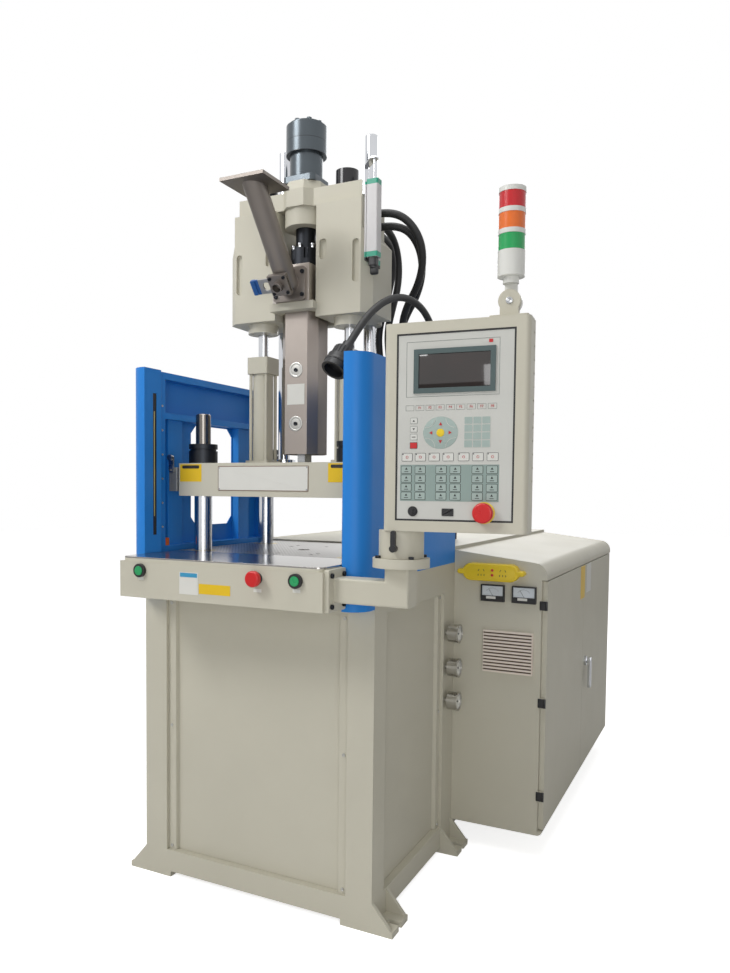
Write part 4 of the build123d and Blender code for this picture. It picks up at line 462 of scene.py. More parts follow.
# %% The table's steel
mark_pitch = 0.016
marks_from, marks_to = -0.235, 0.4
painted_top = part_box("table_plate")[1].z - 0.004
bare_steel, oiled_steel = srgb(176, 173, 169), srgb(84, 82, 80)
table_steel = metal("table_steel", bare_steel, 0.3, (1, 0.05, 1), 700, 0.2)
turns = 2 * math.pi / mark_pitch
across, slanted = table_steel.along((turns, 0, 0)), table_steel.along((turns / 2, turns, 0))
wave_across, wave_slanted = across.math("SINE", across), slanted.math("SINE", slanted)
marked = table_steel.band((0, 1, 0), marks_from, marks_to)
worn = (wave_across > -0.1) * (wave_slanted > 0.35) * marked
painted = table_steel.band(up, 0.0, painted_top)
marked_steel = table_steel.mix(worn * 0.7, bare_steel, oiled_steel)
own_finish["table_plate"] = table_steel.use(
    base_color=table_steel.mix(painted, marked_steel, cream),
    metallic=painted * -1.0 + 1.0,
    roughness=marked * 0.08 + worn * 0.2 + painted * 0.3 + 0.2,
)
print("marks every", mark_pitch, "m")

# %% Every CAD node gets its own finish, or its slot's
for subpart in frame["record"]["subparts"]:
    name = subpart["node"]
    finish = own_finish.get(name, finish_named[subpart["material_slot"]])
    nodes[name].data.materials.clear()
    nodes[name].data.materials.append(finish.material)
print("nodes dressed", len(nodes))

# %% [markdown]
# ## Cable and hoses
#
# A cable is a fixed length of something flexible, so its line is one smooth spline through a
# few chosen points. The heater cable comes out of the gland on the right guard, rises, bends
# over towards the operator and ends in a round plug that hangs in front of the guard.

# %% A smooth route
def select(*pieces):
    """Selects pieces and nothing else; the first one becomes active."""
    bpy.ops.object.select_all(action="DESELECT")
    for piece in pieces:
        piece.select_set(True)
    bpy.context.view_layer.objects.active = pieces[0]


def smooth_curve(name, route):
    """A curve object whose line is a NURBS spline with the route's points."""
    data = bpy.data.curves.new(name, "CURVE")
    data.dimensions = "3D"
    spline = data.splines.new("NURBS")
    spline.points.add(len(route) - 1)
    for point, place in zip(spline.points, route):
        point.co = (*place, 1)
    spline.order_u = 3
    spline.use_endpoint_u = True
    spline.resolution_u = 16
    return new_object(name, data)


def line_points(curve):
    """The points along a curve's line."""
    plain = bpy.data.meshes.new_from_object(curve)
    return [vertex.co.copy() for vertex in plain.vertices]


def line_length(points):
    """The length of a line of points."""
    return sum((b - a).length for a, b in zip(points, points[1:]))


# %% Heater cable
cable_diameter = 0.02
cable_route = [
    (0.346, 0.16, 1.494), (0.346, 0.16, 1.554), (0.344, 0.136, 1.61), (0.34, 0.082, 1.65),
    (0.332, 0.016, 1.668), (0.32, -0.052, 1.668), (0.304, -0.12, 1.646), (0.288, -0.178, 1.606),
    (0.274, -0.226, 1.556), (0.262, -0.262, 1.506),
]
heater_cable = smooth_curve("heater_cable_line", cable_route)
cable_length = line_length(line_points(heater_cable))
heater_cable.data.bevel_depth = cable_diameter / 2
heater_cable.data.bevel_resolution = 6
heater_cable.data.use_fill_caps = True
heater_cable.data.materials.append(black_rubber.material)
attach(heater_cable, "frame")
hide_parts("heater_cable")
print("heater cable", round(cable_length, 3), "m")

# %% One hydraulic hose
hose_diameter = 0.022


def hose(name, route):
    """A mesh hose along the route."""
    curve = smooth_curve(name, route)
    path = line_points(curve)
    curve.data.bevel_depth = hose_diameter / 2
    curve.data.bevel_resolution = 5
    curve.data.use_fill_caps = True
    mesh = bpy.data.meshes.new_from_object(curve)
    bpy.data.objects.remove(curve)
    made = new_object(name, mesh)
    mesh.materials.clear()
    mesh.materials.append(black_rubber.material)
    mesh.shade_smooth()
    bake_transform(made)
    return made


# %% Hoses from the injection casting down to the bulkhead on the platen
casting_routes = [
    [
        (0.212, 0.014, 1.928), (0.254, 0.014, 1.928), (0.3, 0.032, 1.908), (0.33, 0.062, 1.858),
        (0.328, 0.094, 1.798), (0.298, 0.13, 1.742), (0.246, 0.168, 1.692), (0.216, 0.2, 1.634),
        (0.23, 0.238, 1.55), (0.238, 0.242, 1.4), (0.238, 0.242, 1.205),
    ],
    [
        (0.212, 0.046, 1.9), (0.25, 0.046, 1.9), (0.292, 0.07, 1.886), (0.314, 0.104, 1.84),
        (0.31, 0.138, 1.78), (0.276, 0.18, 1.724), (0.222, 0.22, 1.672), (0.188, 0.243, 1.608),
        (0.2, 0.247, 1.528), (0.206, 0.242, 1.39), (0.206, 0.242, 1.205),
    ],
    [
        (0.2, 0.072, 1.918), (0.2, 0.122, 1.918), (0.203, 0.176, 1.892), (0.202, 0.212, 1.838),
        (0.194, 0.226, 1.77), (0.176, 0.224, 1.702), (0.158, 0.226, 1.632), (0.16, 0.24, 1.55),
        (0.174, 0.242, 1.44), (0.174, 0.242, 1.205),
    ],
    [
        (0.2, 0.072, 1.884), (0.2, 0.114, 1.884), (0.199, 0.158, 1.862), (0.192, 0.188, 1.816),
        (0.178, 0.196, 1.756), (0.156, 0.2, 1.692), (0.134, 0.212, 1.624), (0.13, 0.236, 1.55),
        (0.142, 0.242, 1.44), (0.142, 0.242, 1.205),
    ],
]
casting_hoses = [
    hose(f"casting_hose_{number}", route)
    for number, route in enumerate(casting_routes, 1)
]
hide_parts("upper_hoses")

# %% Hoses from the bulkhead down into the rear housing
housing_line = [
    (0.242, 1.161), (0.242, 1.112), (0.25, 1.052), (0.29, 1.0), (0.35, 0.982),
    (0.415, 1.006), (0.457, 1.064), (0.457, 1.134), (0.498, 1.192), (0.565, 1.214),
    (0.632, 1.192), (0.672, 1.134), (0.676, 1.07), (0.676, 0.955),
]
for number, x in enumerate((0.142, 0.174, 0.206, 0.238), 1):
    name, route = f"housing_hose_{number}", [(x, y, z) for y, z in housing_line]
    hose(name, route)
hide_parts("lower_hoses")

# %% [markdown]
# ## Tools of the bench
#
# Small pieces start as a primitive at its size and place. Then they are shaped in edit mode,
# where faces and edges are chosen by the way they point, and their edges are rounded by a
# modifier. Each finished piece has its place in its mesh and its object at the origin.

# %% Starts: a block between two corners, and a disc
disc_turn = {"x": (0, math.pi / 2), "y": (math.pi / 2, 0), "z": (0, 0)}


def settle(name, *finishes):
    """Names the new object, puts its place into its mesh and gives it its finishes."""
    piece = bpy.context.object
    bpy.ops.object.transform_apply()
    piece.name = name
    for finish in finishes:
        piece.data.materials.append(finish.material)
    return piece


def block(name, low, high, *finishes):
    """A block between two corners."""
    low, high = Vector(low), Vector(high)
    bpy.ops.mesh.primitive_cube_add(size=1, location=(low + high) / 2, scale=high - low)
    return settle(name, *finishes)


def disc(name, place, radius, thickness, along, *finishes, sides=32, turn=0.0):
    """A disc round an axis; with 3 sides and along y it is an arrow head that points up."""
    tilt_x, tilt_y = disc_turn[along]
    bpy.ops.mesh.primitive_cylinder_add(
        vertices=sides, radius=radius, depth=thickness, location=place,
        rotation=(tilt_x, tilt_y + turn, 0),
    )
    return settle(name, *finishes)


# %% Shaping: choose faces or edges, round corners, frame a face
def edit(piece, kind):
    """Edit mode on one piece with nothing selected, and its mesh."""
    select(piece)
    bpy.ops.object.mode_set(mode="EDIT")
    bpy.ops.mesh.select_mode(type=kind)
    bpy.ops.mesh.select_all(action="DESELECT")
    return bmesh.from_edit_mesh(piece.data)


def pick_faces(piece, *ways):
    """Selects the faces that look one of the given ways."""
    shape = edit(piece, "FACE")
    for face in shape.faces:
        face.select_set(any(face.normal.dot(Vector(way)) > 0.99 for way in ways))
    bmesh.update_edit_mesh(piece.data)


def done():
    """Back to object mode."""
    bpy.ops.object.mode_set(mode="OBJECT")


def round_corners(piece, along, radius):
    """Rounds the edges that run along x, y or z."""
    axis = "xyz".index(along)
    shape = edit(piece, "EDGE")
    for edge in shape.edges:
        way = edge.verts[1].co - edge.verts[0].co
        edge.select_set(abs(way[axis]) > 0.99 * way.length)
    bmesh.update_edit_mesh(piece.data)
    bpy.ops.mesh.bevel(offset=radius, segments=3, affect="EDGES")
    done()
    return piece


def inner_face(piece, facing, border, step=0.0):
    """Frames a face with a border; the part inside takes the second finish and may be set back."""
    pick_faces(piece, facing)
    bpy.ops.mesh.inset(thickness=border, depth=0)
    if step:
        way = tuple(-v * step for v in facing)
        bpy.ops.mesh.extrude_region_move(TRANSFORM_OT_translate={"value": way})
    if len(piece.data.materials) > 1:
        piece.active_material_index = 1
        bpy.ops.object.material_slot_assign()
    done()
    return piece


def open_frame(piece, facing, border):
    """Makes a block a frame, open along one way."""
    back = tuple(-v for v in facing)
    pick_faces(piece, facing, back)
    bpy.ops.mesh.inset(thickness=border, depth=0)
    bpy.ops.mesh.bridge_edge_loops()
    done()
    return piece


def soften(piece, width, segments=2):
    """Rounds every sharp edge with a Bevel modifier, which is applied."""
    select(piece)
    bevel = piece.modifiers.new("round_edges", "BEVEL")
    bevel.width = width
    bevel.segments = segments
    bevel.limit_method = "ANGLE"
    bevel.angle_limit = math.radians(40)
    bpy.ops.object.modifier_apply(modifier=bevel.name)
    bpy.ops.object.shade_smooth_by_angle(angle=math.radians(35))
    return piece


# %% Finishing: join, copy, and fix to a body
def join(name, pieces):
    """Joins pieces to one."""
    select(*pieces)
    bpy.ops.object.join()
    bpy.context.object.name = name
    return bpy.context.object


def copies(piece, places):
    """The piece at each place, every copy with its own mesh, joined to one."""
    doubles = []
    for place in places:
        double = new_object(piece.name, piece.data.copy())
        double.data.transform(Matrix.Translation(place))
        doubles.append(double)
    name = piece.name
    bpy.data.objects.remove(piece)
    return join(name, doubles)


def fix(piece, body, place=None):
    """Fixes a piece to a body, after moving it to a place if one is given."""
    if place is not None:
        piece.data.transform(place)
    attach(piece, body)
    print(piece.name, "on", body, len(piece.data.polygons), "faces")
    return piece


def plate(name, centre, size, thickness, *finishes, corner=0.0, border=0.0):
    """A thin plate that faces the front, with its back on the plane y of its centre."""
    x, y, z = centre
    half_x, half_z = size[0] / 2, size[1] / 2
    low, high = (x - half_x, y - thickness, z - half_z), (x + half_x, y, z + half_z)
    piece = block(name, low, high, *finishes)
    if corner:
        round_corners(piece, "y", corner)
    if border:
        inner_face(piece, front, border)
    return piece


def label(name, centre, size, finish, corner=0.001, thickness=0.0004):
    """A sticker of one colour."""
    return plate(name, centre, size, thickness, finish, corner=corner)


def screw(name, facing, radius, height, finish, sides=24):
    """A screw head at the origin that stands out one way, with a socket in its top."""
    piece = disc(name, (0, 0, height / 2), radius, height, "z", finish, sides=sides)
    inner_face(piece, up, radius * 0.45, height * 0.6)
    soften(piece, radius * 0.14)
    turn = Vector(up).rotation_difference(Vector(facing)).to_matrix().to_4x4()
    piece.data.transform(turn)
    return piece


def screws(name, facing, radius, height, slot, places, body, sides=24):
    """Equal screws with a slot's own finish, fixed to a body."""
    head = screw(name, facing, radius, height, finish_named[slot], sides)
    fix(copies(head, places), body)


def middle_of(node):
    """The middle of a CAD node's box."""
    low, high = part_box(node)
    return (low + high) / 2


def circle(centre, radius, z, count, first):
    """Places round a vertical axis, the first one at an angle in degrees."""
    angles = [math.radians(first + 360 / count * number) for number in range(count)]
    return [
        (centre.x + radius * math.cos(angle), centre.y + radius * math.sin(angle), z)
        for angle in angles
    ]


# %% [markdown]
# ## Console
#
# The operator's console has a dark glass screen, a printed film with membrane keys and a black
# rubber gasket round the film. A membrane key is a shallow bump under the film with its outline
# printed round it, so each key is a thin plate whose border has the ink's finish.

# %% Inks and the screen
def on_console(piece):
    """Fixes a piece to the console, from the console's own place to the machine's."""
    return fix(piece, "console", console_place)


ink_black = plastic("ink_black", srgb(38, 40, 40), 0.5)
ink_red = plastic("ink_red", srgb(196, 40, 44), 0.5)
ink_grey = plastic("ink_grey", srgb(120, 126, 122), 0.5)
key_white = plastic("key_white", srgb(216, 216, 210), 0.4)
key_green = plastic("key_green", srgb(162, 178, 172), 0.4)
field_green = plastic("field_green", srgb(142, 160, 154), 0.45)
dark_glass = Finish("dark_glass", srgb(34, 26, 22), 0.08, 0.0, coat_weight=0.6, coat_roughness=0.04)
glass_shade = dark_glass.mix(dark_glass.noise(14, 2), srgb(26, 24, 22), srgb(46, 32, 28))
dark_glass.use(base_color=glass_shade)

screen_low, screen_high = (0.0515, film_face - 0.0022, 1.3565), (0.2105, film_face, 1.4315)
screen = block("screen_glass", screen_low, screen_high, dark_glass)
on_console(soften(screen, 0.0006))

gasket = block("panel_gasket", (0.0008, -0.0548, 1.0658), (0.2632, -0.0512, 1.4782), black_rubber)
on_console(open_frame(gasket, front, 0.0042))

# %% Printed frames, the function tabs and the lamp tag
ink = 0.00025


def ink_frame(name, low_x, low_z, high_x, high_z, border):
    """A printed outline between two corners of the film."""
    sheet = block(name, (low_x, film_face - ink, low_z), (high_x, film_face, high_z), ink_grey)
    return open_frame(sheet, front, border)


on_console(ink_frame("screen_outline", 0.0235, 1.3385, 0.229, 1.459, 0.0009))
tab_x = [0.0325 + 0.0228 * number for number in range(9)]
tab = ink_frame("function_tabs", -0.0095, 1.3085, 0.0095, 1.3205, 0.0006)
on_console(copies(tab, [(x, 0, 0) for x in tab_x]))
tag = label("lamp_tag", (0.2096, film_face, 1.4526), (0.0085, 0.007), ink_red, 0.0012, 0.0008)
on_console(tag)


letter_size = 0.0075


def lettering(name, text, x, z, finish):
    """Numbers printed on the film, as a mesh."""
    bpy.ops.object.text_add(location=(x, film_face - ink, z), rotation=(math.pi / 2, 0, 0))
    writing = bpy.context.object.data
    writing.body = text
    writing.size = letter_size
    writing.extrude = ink
    writing.resolution_u = 2
    writing.align_x = "CENTER"
    writing.align_y = "CENTER"
    bpy.ops.object.convert(target="MESH")
    return settle(name, finish)


numbers = [
    lettering(f"tab_number_{n}", f"F{n}", tab_x[n], 1.3145, ink_red) for n in range(1, 9)
]
on_console(join("tab_numbers", numbers))

# %% Membrane keys
key_thickness = 0.0007


def keys(name, places, size, rim, cap, corner, border, thickness=key_thickness):
    """Equal membrane keys on the film: an ink rim round a cap."""
    centre = (0, film_face, 0)
    key = plate(name, centre, size, thickness, rim, cap, corner=corner, border=border)
    on_console(copies(key, places))


row_x = (0.0277, 0.0581, 0.0891, 0.1205, 0.1546, 0.1857, 0.2172)
row_places = [(x, 0, 1.2067) for x in row_x]
keys("row_keys", row_places, (0.0245, 0.018), ink_black, key_white, 0.0018, 0.0008)

on_console(label("key_field", (0.1218, film_face, 1.15), (0.2196, 0.08), field_green))

field_columns = (0.0263, 0.0581, 0.1053, 0.1368, 0.1852, 0.2167)
field_rows = (1.179, 1.1595, 1.14, 1.1213)
field_places = [(x, 0, z) for x in field_columns for z in field_rows]
keys("field_keys", field_places, (0.0245, 0.0172), ink_black, key_green, 0.0018, 0.0009, 0.001)

pad_columns = (0.164, 0.1832, 0.2024)
pad_rows = (1.285, 1.2682, 1.2514, 1.2346)
number_places = [(x, 0, z) for z in pad_rows for x in pad_columns]
keys("number_keys", number_places, (0.0182, 0.0158), key_white, key_green, 0.0012, 0.0005)
digits = [
    lettering(f"key_digit_{index}", digit, x, z, ink_black)
    for index, (digit, (x, _, z)) in enumerate(zip("789456123.0-", number_places))
]
on_console(join("key_digits", digits))

# %% Marks on the keys: an arrow head over a bar stands for a motion
def spot(name, x, z, lift, radius, thickness, finish, sides=32, turn=0.0):
    """A disc whose middle is lifted a little off the film."""
    place = (x, film_face - lift, z)
    return disc(name, place, radius, thickness, "y", finish, sides=sides, turn=turn)


head = spot("head", 0, 0.0018, 0.0011, 0.0034, 0.0006, ink_black, 3)
bar_low, bar_high = (-0.0046, film_face - 0.0013, -0.0048), (0.0046, film_face - 0.0008, -0.0035)
bar = block("bar", bar_low, bar_high, ink_black)
on_console(copies(join("field_marks", [head, bar]), field_places))
dot = spot("dot", -0.0095, 0.0062, 0.0008, 0.0014, 0.0006, ink_black, 12)
ring = spot("ring", 0, 0, 0.0007, 0.003, 0.0008, ink_red, 16)
open_frame(ring, front, 0.0008)
on_console(copies(join("row_marks", [dot, ring]), row_places))

# %% Cursor pad: a green oval with four arrows and a yellow key in its middle
pad_x, pad_z, pad_flat, arrow_reach = 0.1025, 1.2595, 0.9, 0.0205
oval = disc("cursor_oval", (0, 0, 0), 0.039, 0.0008, "y", key_green, sides=48)
pad_place = Matrix.Translation((pad_x, film_face - 0.0002, pad_z))
oval.data.transform(pad_place @ Matrix.Diagonal((1, 1, pad_flat, 1)))
on_console(soften(oval, 0.0003))

arrows = []
for number in range(4):
    turn = number * math.pi / 2
    x = pad_x + math.sin(turn) * arrow_reach
    z = pad_z + math.cos(turn) * arrow_reach * pad_flat
    arrows.append(spot(f"arrow_{number}", x, z, 0.0009, 0.0046, 0.0005, ink_red, 3, turn))
on_console(join("cursor_arrows", arrows))
middle = spot("cursor_middle", pad_x, pad_z, 0.0009, 0.0088, 0.0012, yellow_plastic)
on_console(soften(middle, 0.0003))

petals = []
bend = ((0.012, 0.032), (0.013, 0.012), (0.035, 0.011))
for number, (side_x, side_z) in enumerate(((-1, 1), (1, 1), (-1, -1), (1, -1))):
    route = [(pad_x + side_x * x, film_face - 0.0007, pad_z + side_z * z) for x, z in bend]
    petal = smooth_curve(f"petal_{number}", route)
    petal.data.bevel_depth = 0.0005
    select(petal)
    bpy.ops.object.convert(target="MESH")
    petals.append(settle(f"petal_{number}", key_white))
on_console(join("cursor_lines", petals))

# %% Four small keys at the left of the pad
side_places = [(0.042, 0, z) for z in (1.2867, 1.2682, 1.251)]
keys("side_keys", side_places, (0.0165, 0.013), ink_grey, key_white, 0.0014, 0.0007)
up_head = spot("up_head", 0.042, 1.286, 0.0008, 0.003, 0.0005, ink_black, 3)
down_head = spot("down_head", 0.042, 1.2688, 0.0008, 0.003, 0.0005, ink_black, 3, math.pi)
dash_low, dash_high = (0.0375, film_face - 0.001, 1.2502), (0.0465, film_face - 0.0006, 1.2518)
dash = block("dash", dash_low, dash_high, ink_black)
on_console(join("side_marks", [up_head, down_head, dash]))
red_key = plate(
    "red_key", (0.042, film_face, 1.2324), (0.017, 0.014), key_thickness, ink_black, ink_red,
    corner=0.0014, border=0.0008,
)
on_console(red_key)

# %% Port, key ring and the yellow plate under the emergency stop
port_place, port_size = (0.121, film_face, 1.086), (0.026, 0.0165)
port = label("port_frame", port_place, port_size, black_plastic, 0.0015, 0.0016)
on_console(inner_face(port, front, 0.0032, 0.001))
key_ring = spot("key_ring", 0.042, 1.087, 0.0008, 0.0112, 0.0016, black_plastic)
on_console(open_frame(key_ring, front, 0.003))
stop_plate = spot("stop_plate", 0.201, 1.086, 0.0012, 0.0235, 0.0022, yellow_plastic)
on_console(soften(open_frame(stop_plate, front, 0.0135), 0.0004))
tower_screw = screw("tower_screw", front, 0.0075, 0.003, ground_steel)
tower_screw.data.transform(Matrix.Translation((0.242, -0.0301, 1.539)))
on_console(tower_screw)

# %% [markdown]
# ## Name plate, labels and captions
#
# The machine carries a framed name plate on its platen and a few stickers. Here they stay
# without text: the plates keep their size, colour and border.

# %% Bare plates on the platen, the beam and the cover
label_white = plastic("label_white", srgb(222, 221, 214), 0.35)
label_yellow = plastic("label_yellow", srgb(232, 192, 30), 0.35)
label_blue = plastic("label_blue", srgb(58, 150, 190), 0.35)
label_black = plastic("label_black", srgb(32, 30, 26), 0.4)
plate_border = plastic("plate_border", srgb(132, 112, 96), 0.45)

platen_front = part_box("moving_platen")[0].y
name_plate = plate(
    "name_plate", (0.0035, platen_front, 1.1615), (0.291, 0.069), 0.0012, plate_border, label_white,
    corner=0.002, border=0.0022,
)
fix(name_plate, "clamp")
pins = [(x, platen_front - 0.0012, z) for x in (-0.137, 0.144) for z in (1.132, 1.191)]
screws("plate_pins", front, 0.0022, 0.0008, "ground_steel", pins, "clamp", 12)

side_labels = []
for x in (-0.2375, 0.2455):
    base = label("side_label", (x, platen_front, 1.177), (0.076, 0.05), label_yellow)
    head_place, head_size = (x, platen_front - 0.0004, 1.194), (0.06, 0.009)
    side_labels += [base, label("side_head", head_place, head_size, label_black, 0.003, 0.0003)]
fix(join("platen_labels", side_labels), "clamp")

beam_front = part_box("front_beam")[0].y
white_note = label("beam_note", (-0.0805, beam_front, 0.8895), (0.059, 0.057), label_white)
head_place, head_size = (-0.0805, beam_front - 0.0004, 0.911), (0.054, 0.011)
note_head = label("note_head", head_place, head_size, label_blue, thickness=0.0003)
fix(join("beam_note", [white_note, note_head]), "frame")
strip_note = label("beam_strip", (0.0, beam_front, 0.878), (0.096, 0.026), label_yellow)
fix(strip_note, "frame")
captions = []
for button, drop, width in (
    ("start_button_left", 0.0215, 0.019),
    ("beam_stop_button", 0.03, 0.023),
    ("start_button_right", 0.024, 0.021),
):
    place = middle_of(button)
    centre = (place.x + 0.001, beam_front, place.z - drop)
    captions.append(label("caption", centre, (width, 0.0085), label_white, 0.0006))
fix(join("beam_captions", captions), "frame")

cover_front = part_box("barrel_cover")[0].y
note_place, note_size = (0.0, cover_front, 1.411), (0.058, 0.06)
cover_note = label("cover_note", note_place, note_size, label_white, thickness=0.0005)
fix(cover_note, "carriage")

# %% Dished washers and screws on the barrel cover
dish_levels = (1.482, 1.325)
dishes = []
for z in dish_levels:
    centre = (0, cover_front - 0.0006, z)
    dish = disc("cover_dish", centre, 0.0225, 0.0012, "y", stainless, sides=40)
    inner_face(dish, front, 0.002)
    inner_face(dish, front, 0.006, 0.0009)
    dishes.append(dish)
fix(join("cover_dishes", [soften(dish, 0.0004) for dish in dishes]), "carriage")
middles = [(0, cover_front, z) for z in dish_levels]
screws("cover_screws", front, 0.0058, 0.0042, "dark_steel", middles, "carriage", 16)

# %% [markdown]
# ## Screws
#
# A small pan head holds sheet metal, a black socket head cap screw holds what carries load.

# %% Pan heads on the trays and on the guard's rail
tray_y, tray_x = -0.3, 0.356
tray_levels = (0.091, 0.447, 0.803)
front_tray = [(x, tray_y, z) for x in (-0.278, 0.278) for z in tray_levels]
trays = [("front_tray_screws", front, front_tray)]
for side, side_name in ((-1, "left"), (1, "right")):
    places = [(side * tray_x, y, z) for y in (-0.221, 0.201) for z in tray_levels]
    trays.append((f"side_tray_screws_{side_name}", (side, 0, 0), places))
for name, facing, places in trays:
    screws(name, facing, 0.0048, 0.0026, "stainless", places, "frame", 20)
rail = [(-0.326, -0.284, z) for z in (1.02, 1.09, 1.16, 1.23, 1.3, 1.37)]
screws("guard_screws", right, 0.0032, 0.0018, "stainless", rail, "frame", 16)

# %% Socket head screws
arm = [(0.32, y, z) for y in (-0.461, -0.397) for z in (0.856, 0.93)]
screws("arm_screws", right, 0.0062, 0.006, "dark_steel", arm, "frame")
flange_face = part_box("throat_block")[0].y - 0.01
throat = [(x, flange_face, z) for x in (-0.0435, 0.0435) for z in (1.688, 1.752)]
screws("throat_screws", front, 0.0062, 0.004, "dark_steel", throat, "carriage")

# %% Screws of the drain plate, which is square to the slanted chute
seat_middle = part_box("feed_chute")[0].y + 0.067
chute_low, chute_seat = Vector((0, -0.128, 1.72)), Vector((0, seat_middle, 1.936))
drain_along, drain_reach = 0.017, 0.048
chute_way = (chute_seat - chute_low).normalized()
drain_way = Vector((0, -chute_way.z, chute_way.y))
drain_face = chute_low + chute_way * drain_along + drain_way * drain_reach
across_x = Vector(right)
drain_turn = Matrix((across_x, drain_way.cross(across_x), drain_way)).transposed()
drain_screw = screw("drain_screws", up, 0.0048, 0.004, dark_steel)
corners = [(x, y, 0) for x in (-0.022, 0.022) for y in (-0.022, 0.022)]
drain_screws = copies(drain_screw, corners)
drain_place = Matrix.Translation(drain_face) @ drain_turn.to_4x4()
fix(drain_screws, "carriage", drain_place)

# %% Screws of the pedestal's flange
flange_top = 0.978
flange = circle(console_axis, 0.058, flange_top, 4, 45)
screws("pedestal_screws", up, 0.0062, 0.006, "dark_steel", flange, "frame")

# %% [markdown]
# The plug has a ribbed grip and a lock ring. The grip starts as a drum with forty sides; every
# second side is inset and raised, and the drum is then turned onto the plug's axis.

# %% The plug's grip with its ribs, and the lock ring
plug_start = Vector(cable_route[-1])
plug_way = (plug_start - Vector(cable_route[-2])).normalized()
plug_turn = plug_way.to_track_quat("Z", "Y").to_matrix().to_4x4()
plug_place = Matrix.Translation(plug_start) @ plug_turn
grip = disc("plug_grip", (0, 0, 0.037), 0.0276, 0.026, "z", black_rubber, sides=40)
shape = edit(grip, "FACE")
for face in [face for face in shape.faces if abs(face.normal.z) < 0.1][::2]:
    face.select_set(True)
bmesh.update_edit_mesh(grip.data)
bpy.ops.mesh.inset(thickness=0.0008, depth=0.0016, use_individual=True)
done()
fix(grip, "frame", plug_place)
lock_ring = disc("plug_ring", (0, 0, 0.07), 0.0342, 0.008, "z", black_plastic, sides=48)
soften(open_frame(lock_ring, up, 0.004), 0.0008)
fix(lock_ring, "frame", plug_place)

# %% The sensor's connector: a nut and an angled boot
connector_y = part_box("position_sensor")[0].y + 0.015
nut = disc("nut", (0.258, connector_y, 1.7435), 0.0105, 0.009, "z", black_plastic, sides=8)
boot_low, boot_high = (0.25, connector_y - 0.008, 1.722), (0.272, connector_y + 0.008, 1.74)
boot = block("boot", boot_low, boot_high, black_rubber)
connector = join("sensor_connector", [soften(nut, 0.001), soften(boot, 0.0045, 3)])
fix(connector, "carriage")

# %% Steel bolts on the screw's coupling
coupling_top = 1.84
bolts = circle(middle_of("plasticising_screw"), 0.0368, coupling_top, 6, 30)
screws("coupling_bolts", up, 0.0062, 0.013, "hard_chrome", bolts, "screw", 6)

# %% Screws under the carriage rods' flanges
rod_low, rod_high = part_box("carriage_rods")
rod_x = (rod_high.x - rod_low.x) / 2 - 0.046
rod_y = (rod_low.y + rod_high.y) / 2
rods = [
    place
    for x in (-rod_x, rod_x)
    for place in circle(Vector((x, rod_y, 0)), 0.034, 1.61, 4, 45)
]
screws("rod_screws", (0, 0, -1), 0.0046, 0.002, "dark_steel", rods, "carriage")

# %% [markdown]
# ## Cabinet's front and the gauges
#
# The panel meters have white cards with a scale over a black lower half. The three gauges at
# the base's side are round, with a card, a scale and a needle. The grille is a row of slats,
# with a dark sheet of painted shade behind them.

# %% A scale of ticks and a needle
card_white = plastic("card_white", srgb(214, 220, 224), 0.4)


def swing(piece, centre, degrees):
    """Turns a piece about y and moves it to a centre."""
    turn = Matrix.Rotation(math.radians(degrees), 4, "Y")
    piece.data.transform(Matrix.Translation(centre) @ turn)
    return piece


def scale_marks(name, centre, radius, first, last, count, finish):
    """Ticks on an arc that faces the front, from one angle to another."""
    ticks = []
    for index in range(count):
        angle = first + (last - first) * index / (count - 1)
        tick = block("tick", (-0.0003, -0.0004, radius), (0.0003, 0, radius + 0.0024), finish)
        ticks.append(swing(tick, centre, angle))
    needle = block("needle", (-0.0004, -0.0006, -0.002), (0.0004, 0, radius + 0.001), finish)
    return join(name, ticks + [swing(needle, centre, first * 0.8 + last * 0.2)])


# %% Panel meters
meters = [(x, 0, 0) for x in (0.493, 0.591)]
dial_y, bezel_y = 0.3, 0.297
card = plate("meter_cards", (0, dial_y, 0.822), (0.065, 0.03), 0.0005, card_white)
fix(copies(card, meters), "frame")
scale = scale_marks("meter_scales", (0, dial_y - 0.0005, 0.8085), 0.0215, -52, 52, 15, ink_black)
fix(copies(scale, meters), "frame")
meter_note = plate("meter_notes", (-0.004, bezel_y, 0.8015), (0.03, 0.008), 0.0004, label_white)
fix(copies(meter_note, meters), "frame")

# %% Gauges
gauge_centres = [(0.4062, 0.236, z) for z in (0.478, 0.583, 0.69)]
gauge_card = disc("gauge_cards", (0, 0, 0), 0.0246, 0.0006, "x", label_white, sides=40)
fix(copies(gauge_card, gauge_centres), "frame")
gauge_scale = scale_marks("gauge_scales", (0, 0, 0), 0.017, -135, 135, 19, ink_black)
gauge_scale.data.transform(Matrix.Rotation(math.pi / 2, 4, "Z"))
scale_centres = [(x + 0.0004, y, z) for x, y, z in gauge_centres]
fix(copies(gauge_scale, scale_centres), "frame")
hub = disc("gauge_hubs", (0.0009, 0, 0), 0.003, 0.0016, "x", dark_steel, sides=20)
fix(copies(hub, gauge_centres), "frame")

# %% Grille slats over painted shade, and bare plates on the cabinet's doors
grille_low, grille_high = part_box("vent_grille")
slat_count, slat_tall = 13, 0.0058
slat_low = (grille_low.x, grille_low.y - 0.0015, -slat_tall / 2)
slat_high = (grille_high.x, grille_low.y + 0.0005, slat_tall / 2)
slat = block("grille_slats", slat_low, slat_high, grille_paint)
slat_rise = (grille_high.z - grille_low.z - slat_tall) / (slat_count - 1)
slat_base = grille_low.z + slat_tall / 2
slats = copies(slat, [(0, 0, slat_base + slat_rise * n) for n in range(slat_count)])
fix(slats, "frame")
# Painted shade: a dark sheet behind the slats, seen in the gaps in place of the grille's shadowed inside.
gap_shade_low, gap_shade_high = (0.467, grille_low.y - 0.0004, 0.57), (0.617, grille_low.y, 0.696)
fix(block("grille_gap_shade", gap_shade_low, gap_shade_high, painted_gap_shade), "frame")

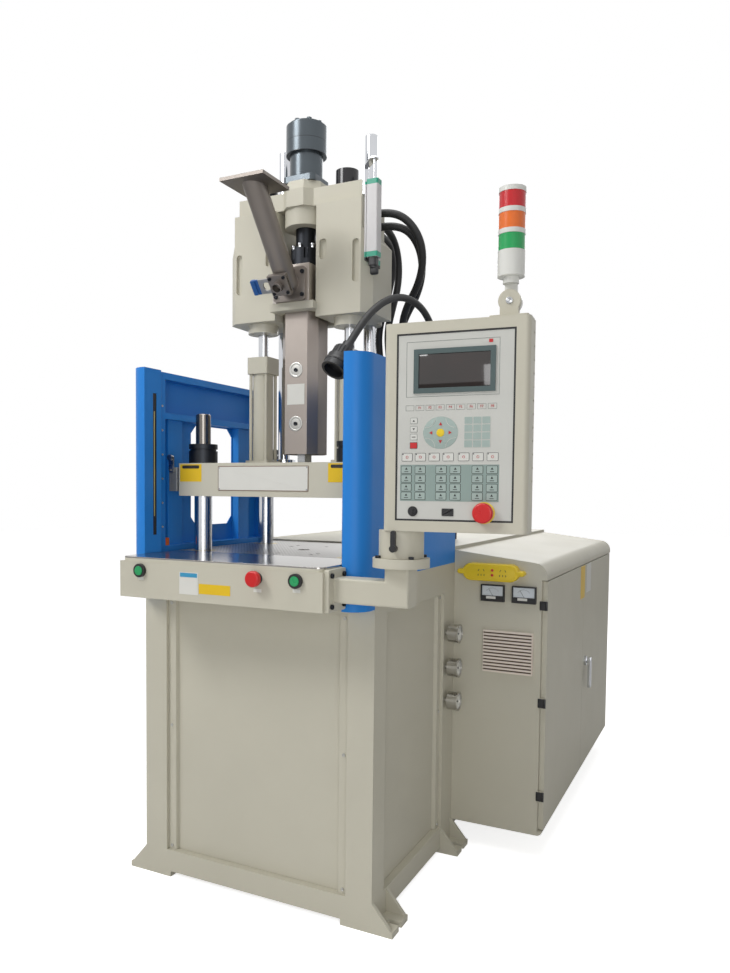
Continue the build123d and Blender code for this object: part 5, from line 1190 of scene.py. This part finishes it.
notice_top = 0.857
for door, y, size, finish, slot in (
    ("front", 0.921, (0.086, 0.121), label_yellow, "yellow_plastic"),
    ("rear", 1.048, (0.094, 0.109), label_white, "panel_film"),
):
    face_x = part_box("cabinet_door_" + door)[1].x
    low = (face_x, y - size[0] / 2, notice_top - size[1])
    high = (face_x + 0.0004, y + size[0] / 2, notice_top)
    notice = block("door_note_" + door, low, high, finish)
    fix(round_corners(notice, "x", 0.001), "door_" + door)

# %% Hinge leaves on the cabinet's front edge
leaf = block("hinge_leaf", (0.638, 0.3066, -0.014), (0.66, 0.31, 0.014), black_plastic)
round_corners(leaf, "y", 0.002)
barrel = disc("hinge_barrel", (0.658, 0.309, 0), 0.0042, 0.028, "z", black_plastic, sides=20)
hinge = join("cabinet_hinges", [soften(leaf, 0.0006), soften(barrel, 0.0006)])
fix(copies(hinge, [(0, 0, z) for z in (0.195, 0.485, 0.785)]), "frame")

# %% [markdown]
# ## Socket strip
#
# The yellow strip has two groups of slots with two red buttons between them. Its face stands a
# little proud of its body.

# %% Face, slots and buttons of the strip
strip_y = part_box("socket_strip")[0].y
strip_place, strip_size = (0.489, strip_y, 0.88), (0.156, 0.038)
strip_face = label("strip_face", strip_place, strip_size, yellow_plastic, 0.0185, 0.0012)
fix(soften(strip_face, 0.0005), "frame")
slots = []
for x in (0.462, 0.53):
    for offset, angle in ((-0.008, 28), (0.008, -28)):
        slot = block("slot", (-0.0009, -0.0004, -0.0036), (0.0009, 0, 0.0036), label_black)
        slots.append(swing(slot, (x + offset, strip_y - 0.0012, 0.887), angle))
    for offset in (-0.0095, 0.0, 0.0095):
        low = (x + offset - 0.001, strip_y - 0.0016, 0.869)
        high = (x + offset + 0.001, strip_y - 0.0012, 0.875)
        slots.append(block("slot", low, high, label_black))
fix(join("strip_slots", slots), "frame")
button = disc("strip_buttons", (0, strip_y - 0.002, 0), 0.0042, 0.002, "y", ink_red, sides=24)
soften(button, 0.0005)
fix(copies(button, [(0.497, 0, 0.888), (0.497, 0, 0.873)]), "frame")

# %% [markdown]
# ## Guards
#
# A light curtain is a row of small lenses behind a pale window in a black strip. The strips
# are in the posts' grooves and face each other across the table.

# %% Windows of the light curtains
window_yellow = plastic("window_yellow", srgb(206, 190, 120), 0.25)
for side, name in ((-1, "left"), (1, "right")):
    inner, outer = sorted((side * 0.3092, side * 0.3082))
    low, high = (inner, -0.3415, 1.053), (outer, -0.3385, 1.349)
    window = block(f"curtain_window_{name}", low, high, window_yellow)
    fix(soften(window, 0.0003), "frame")
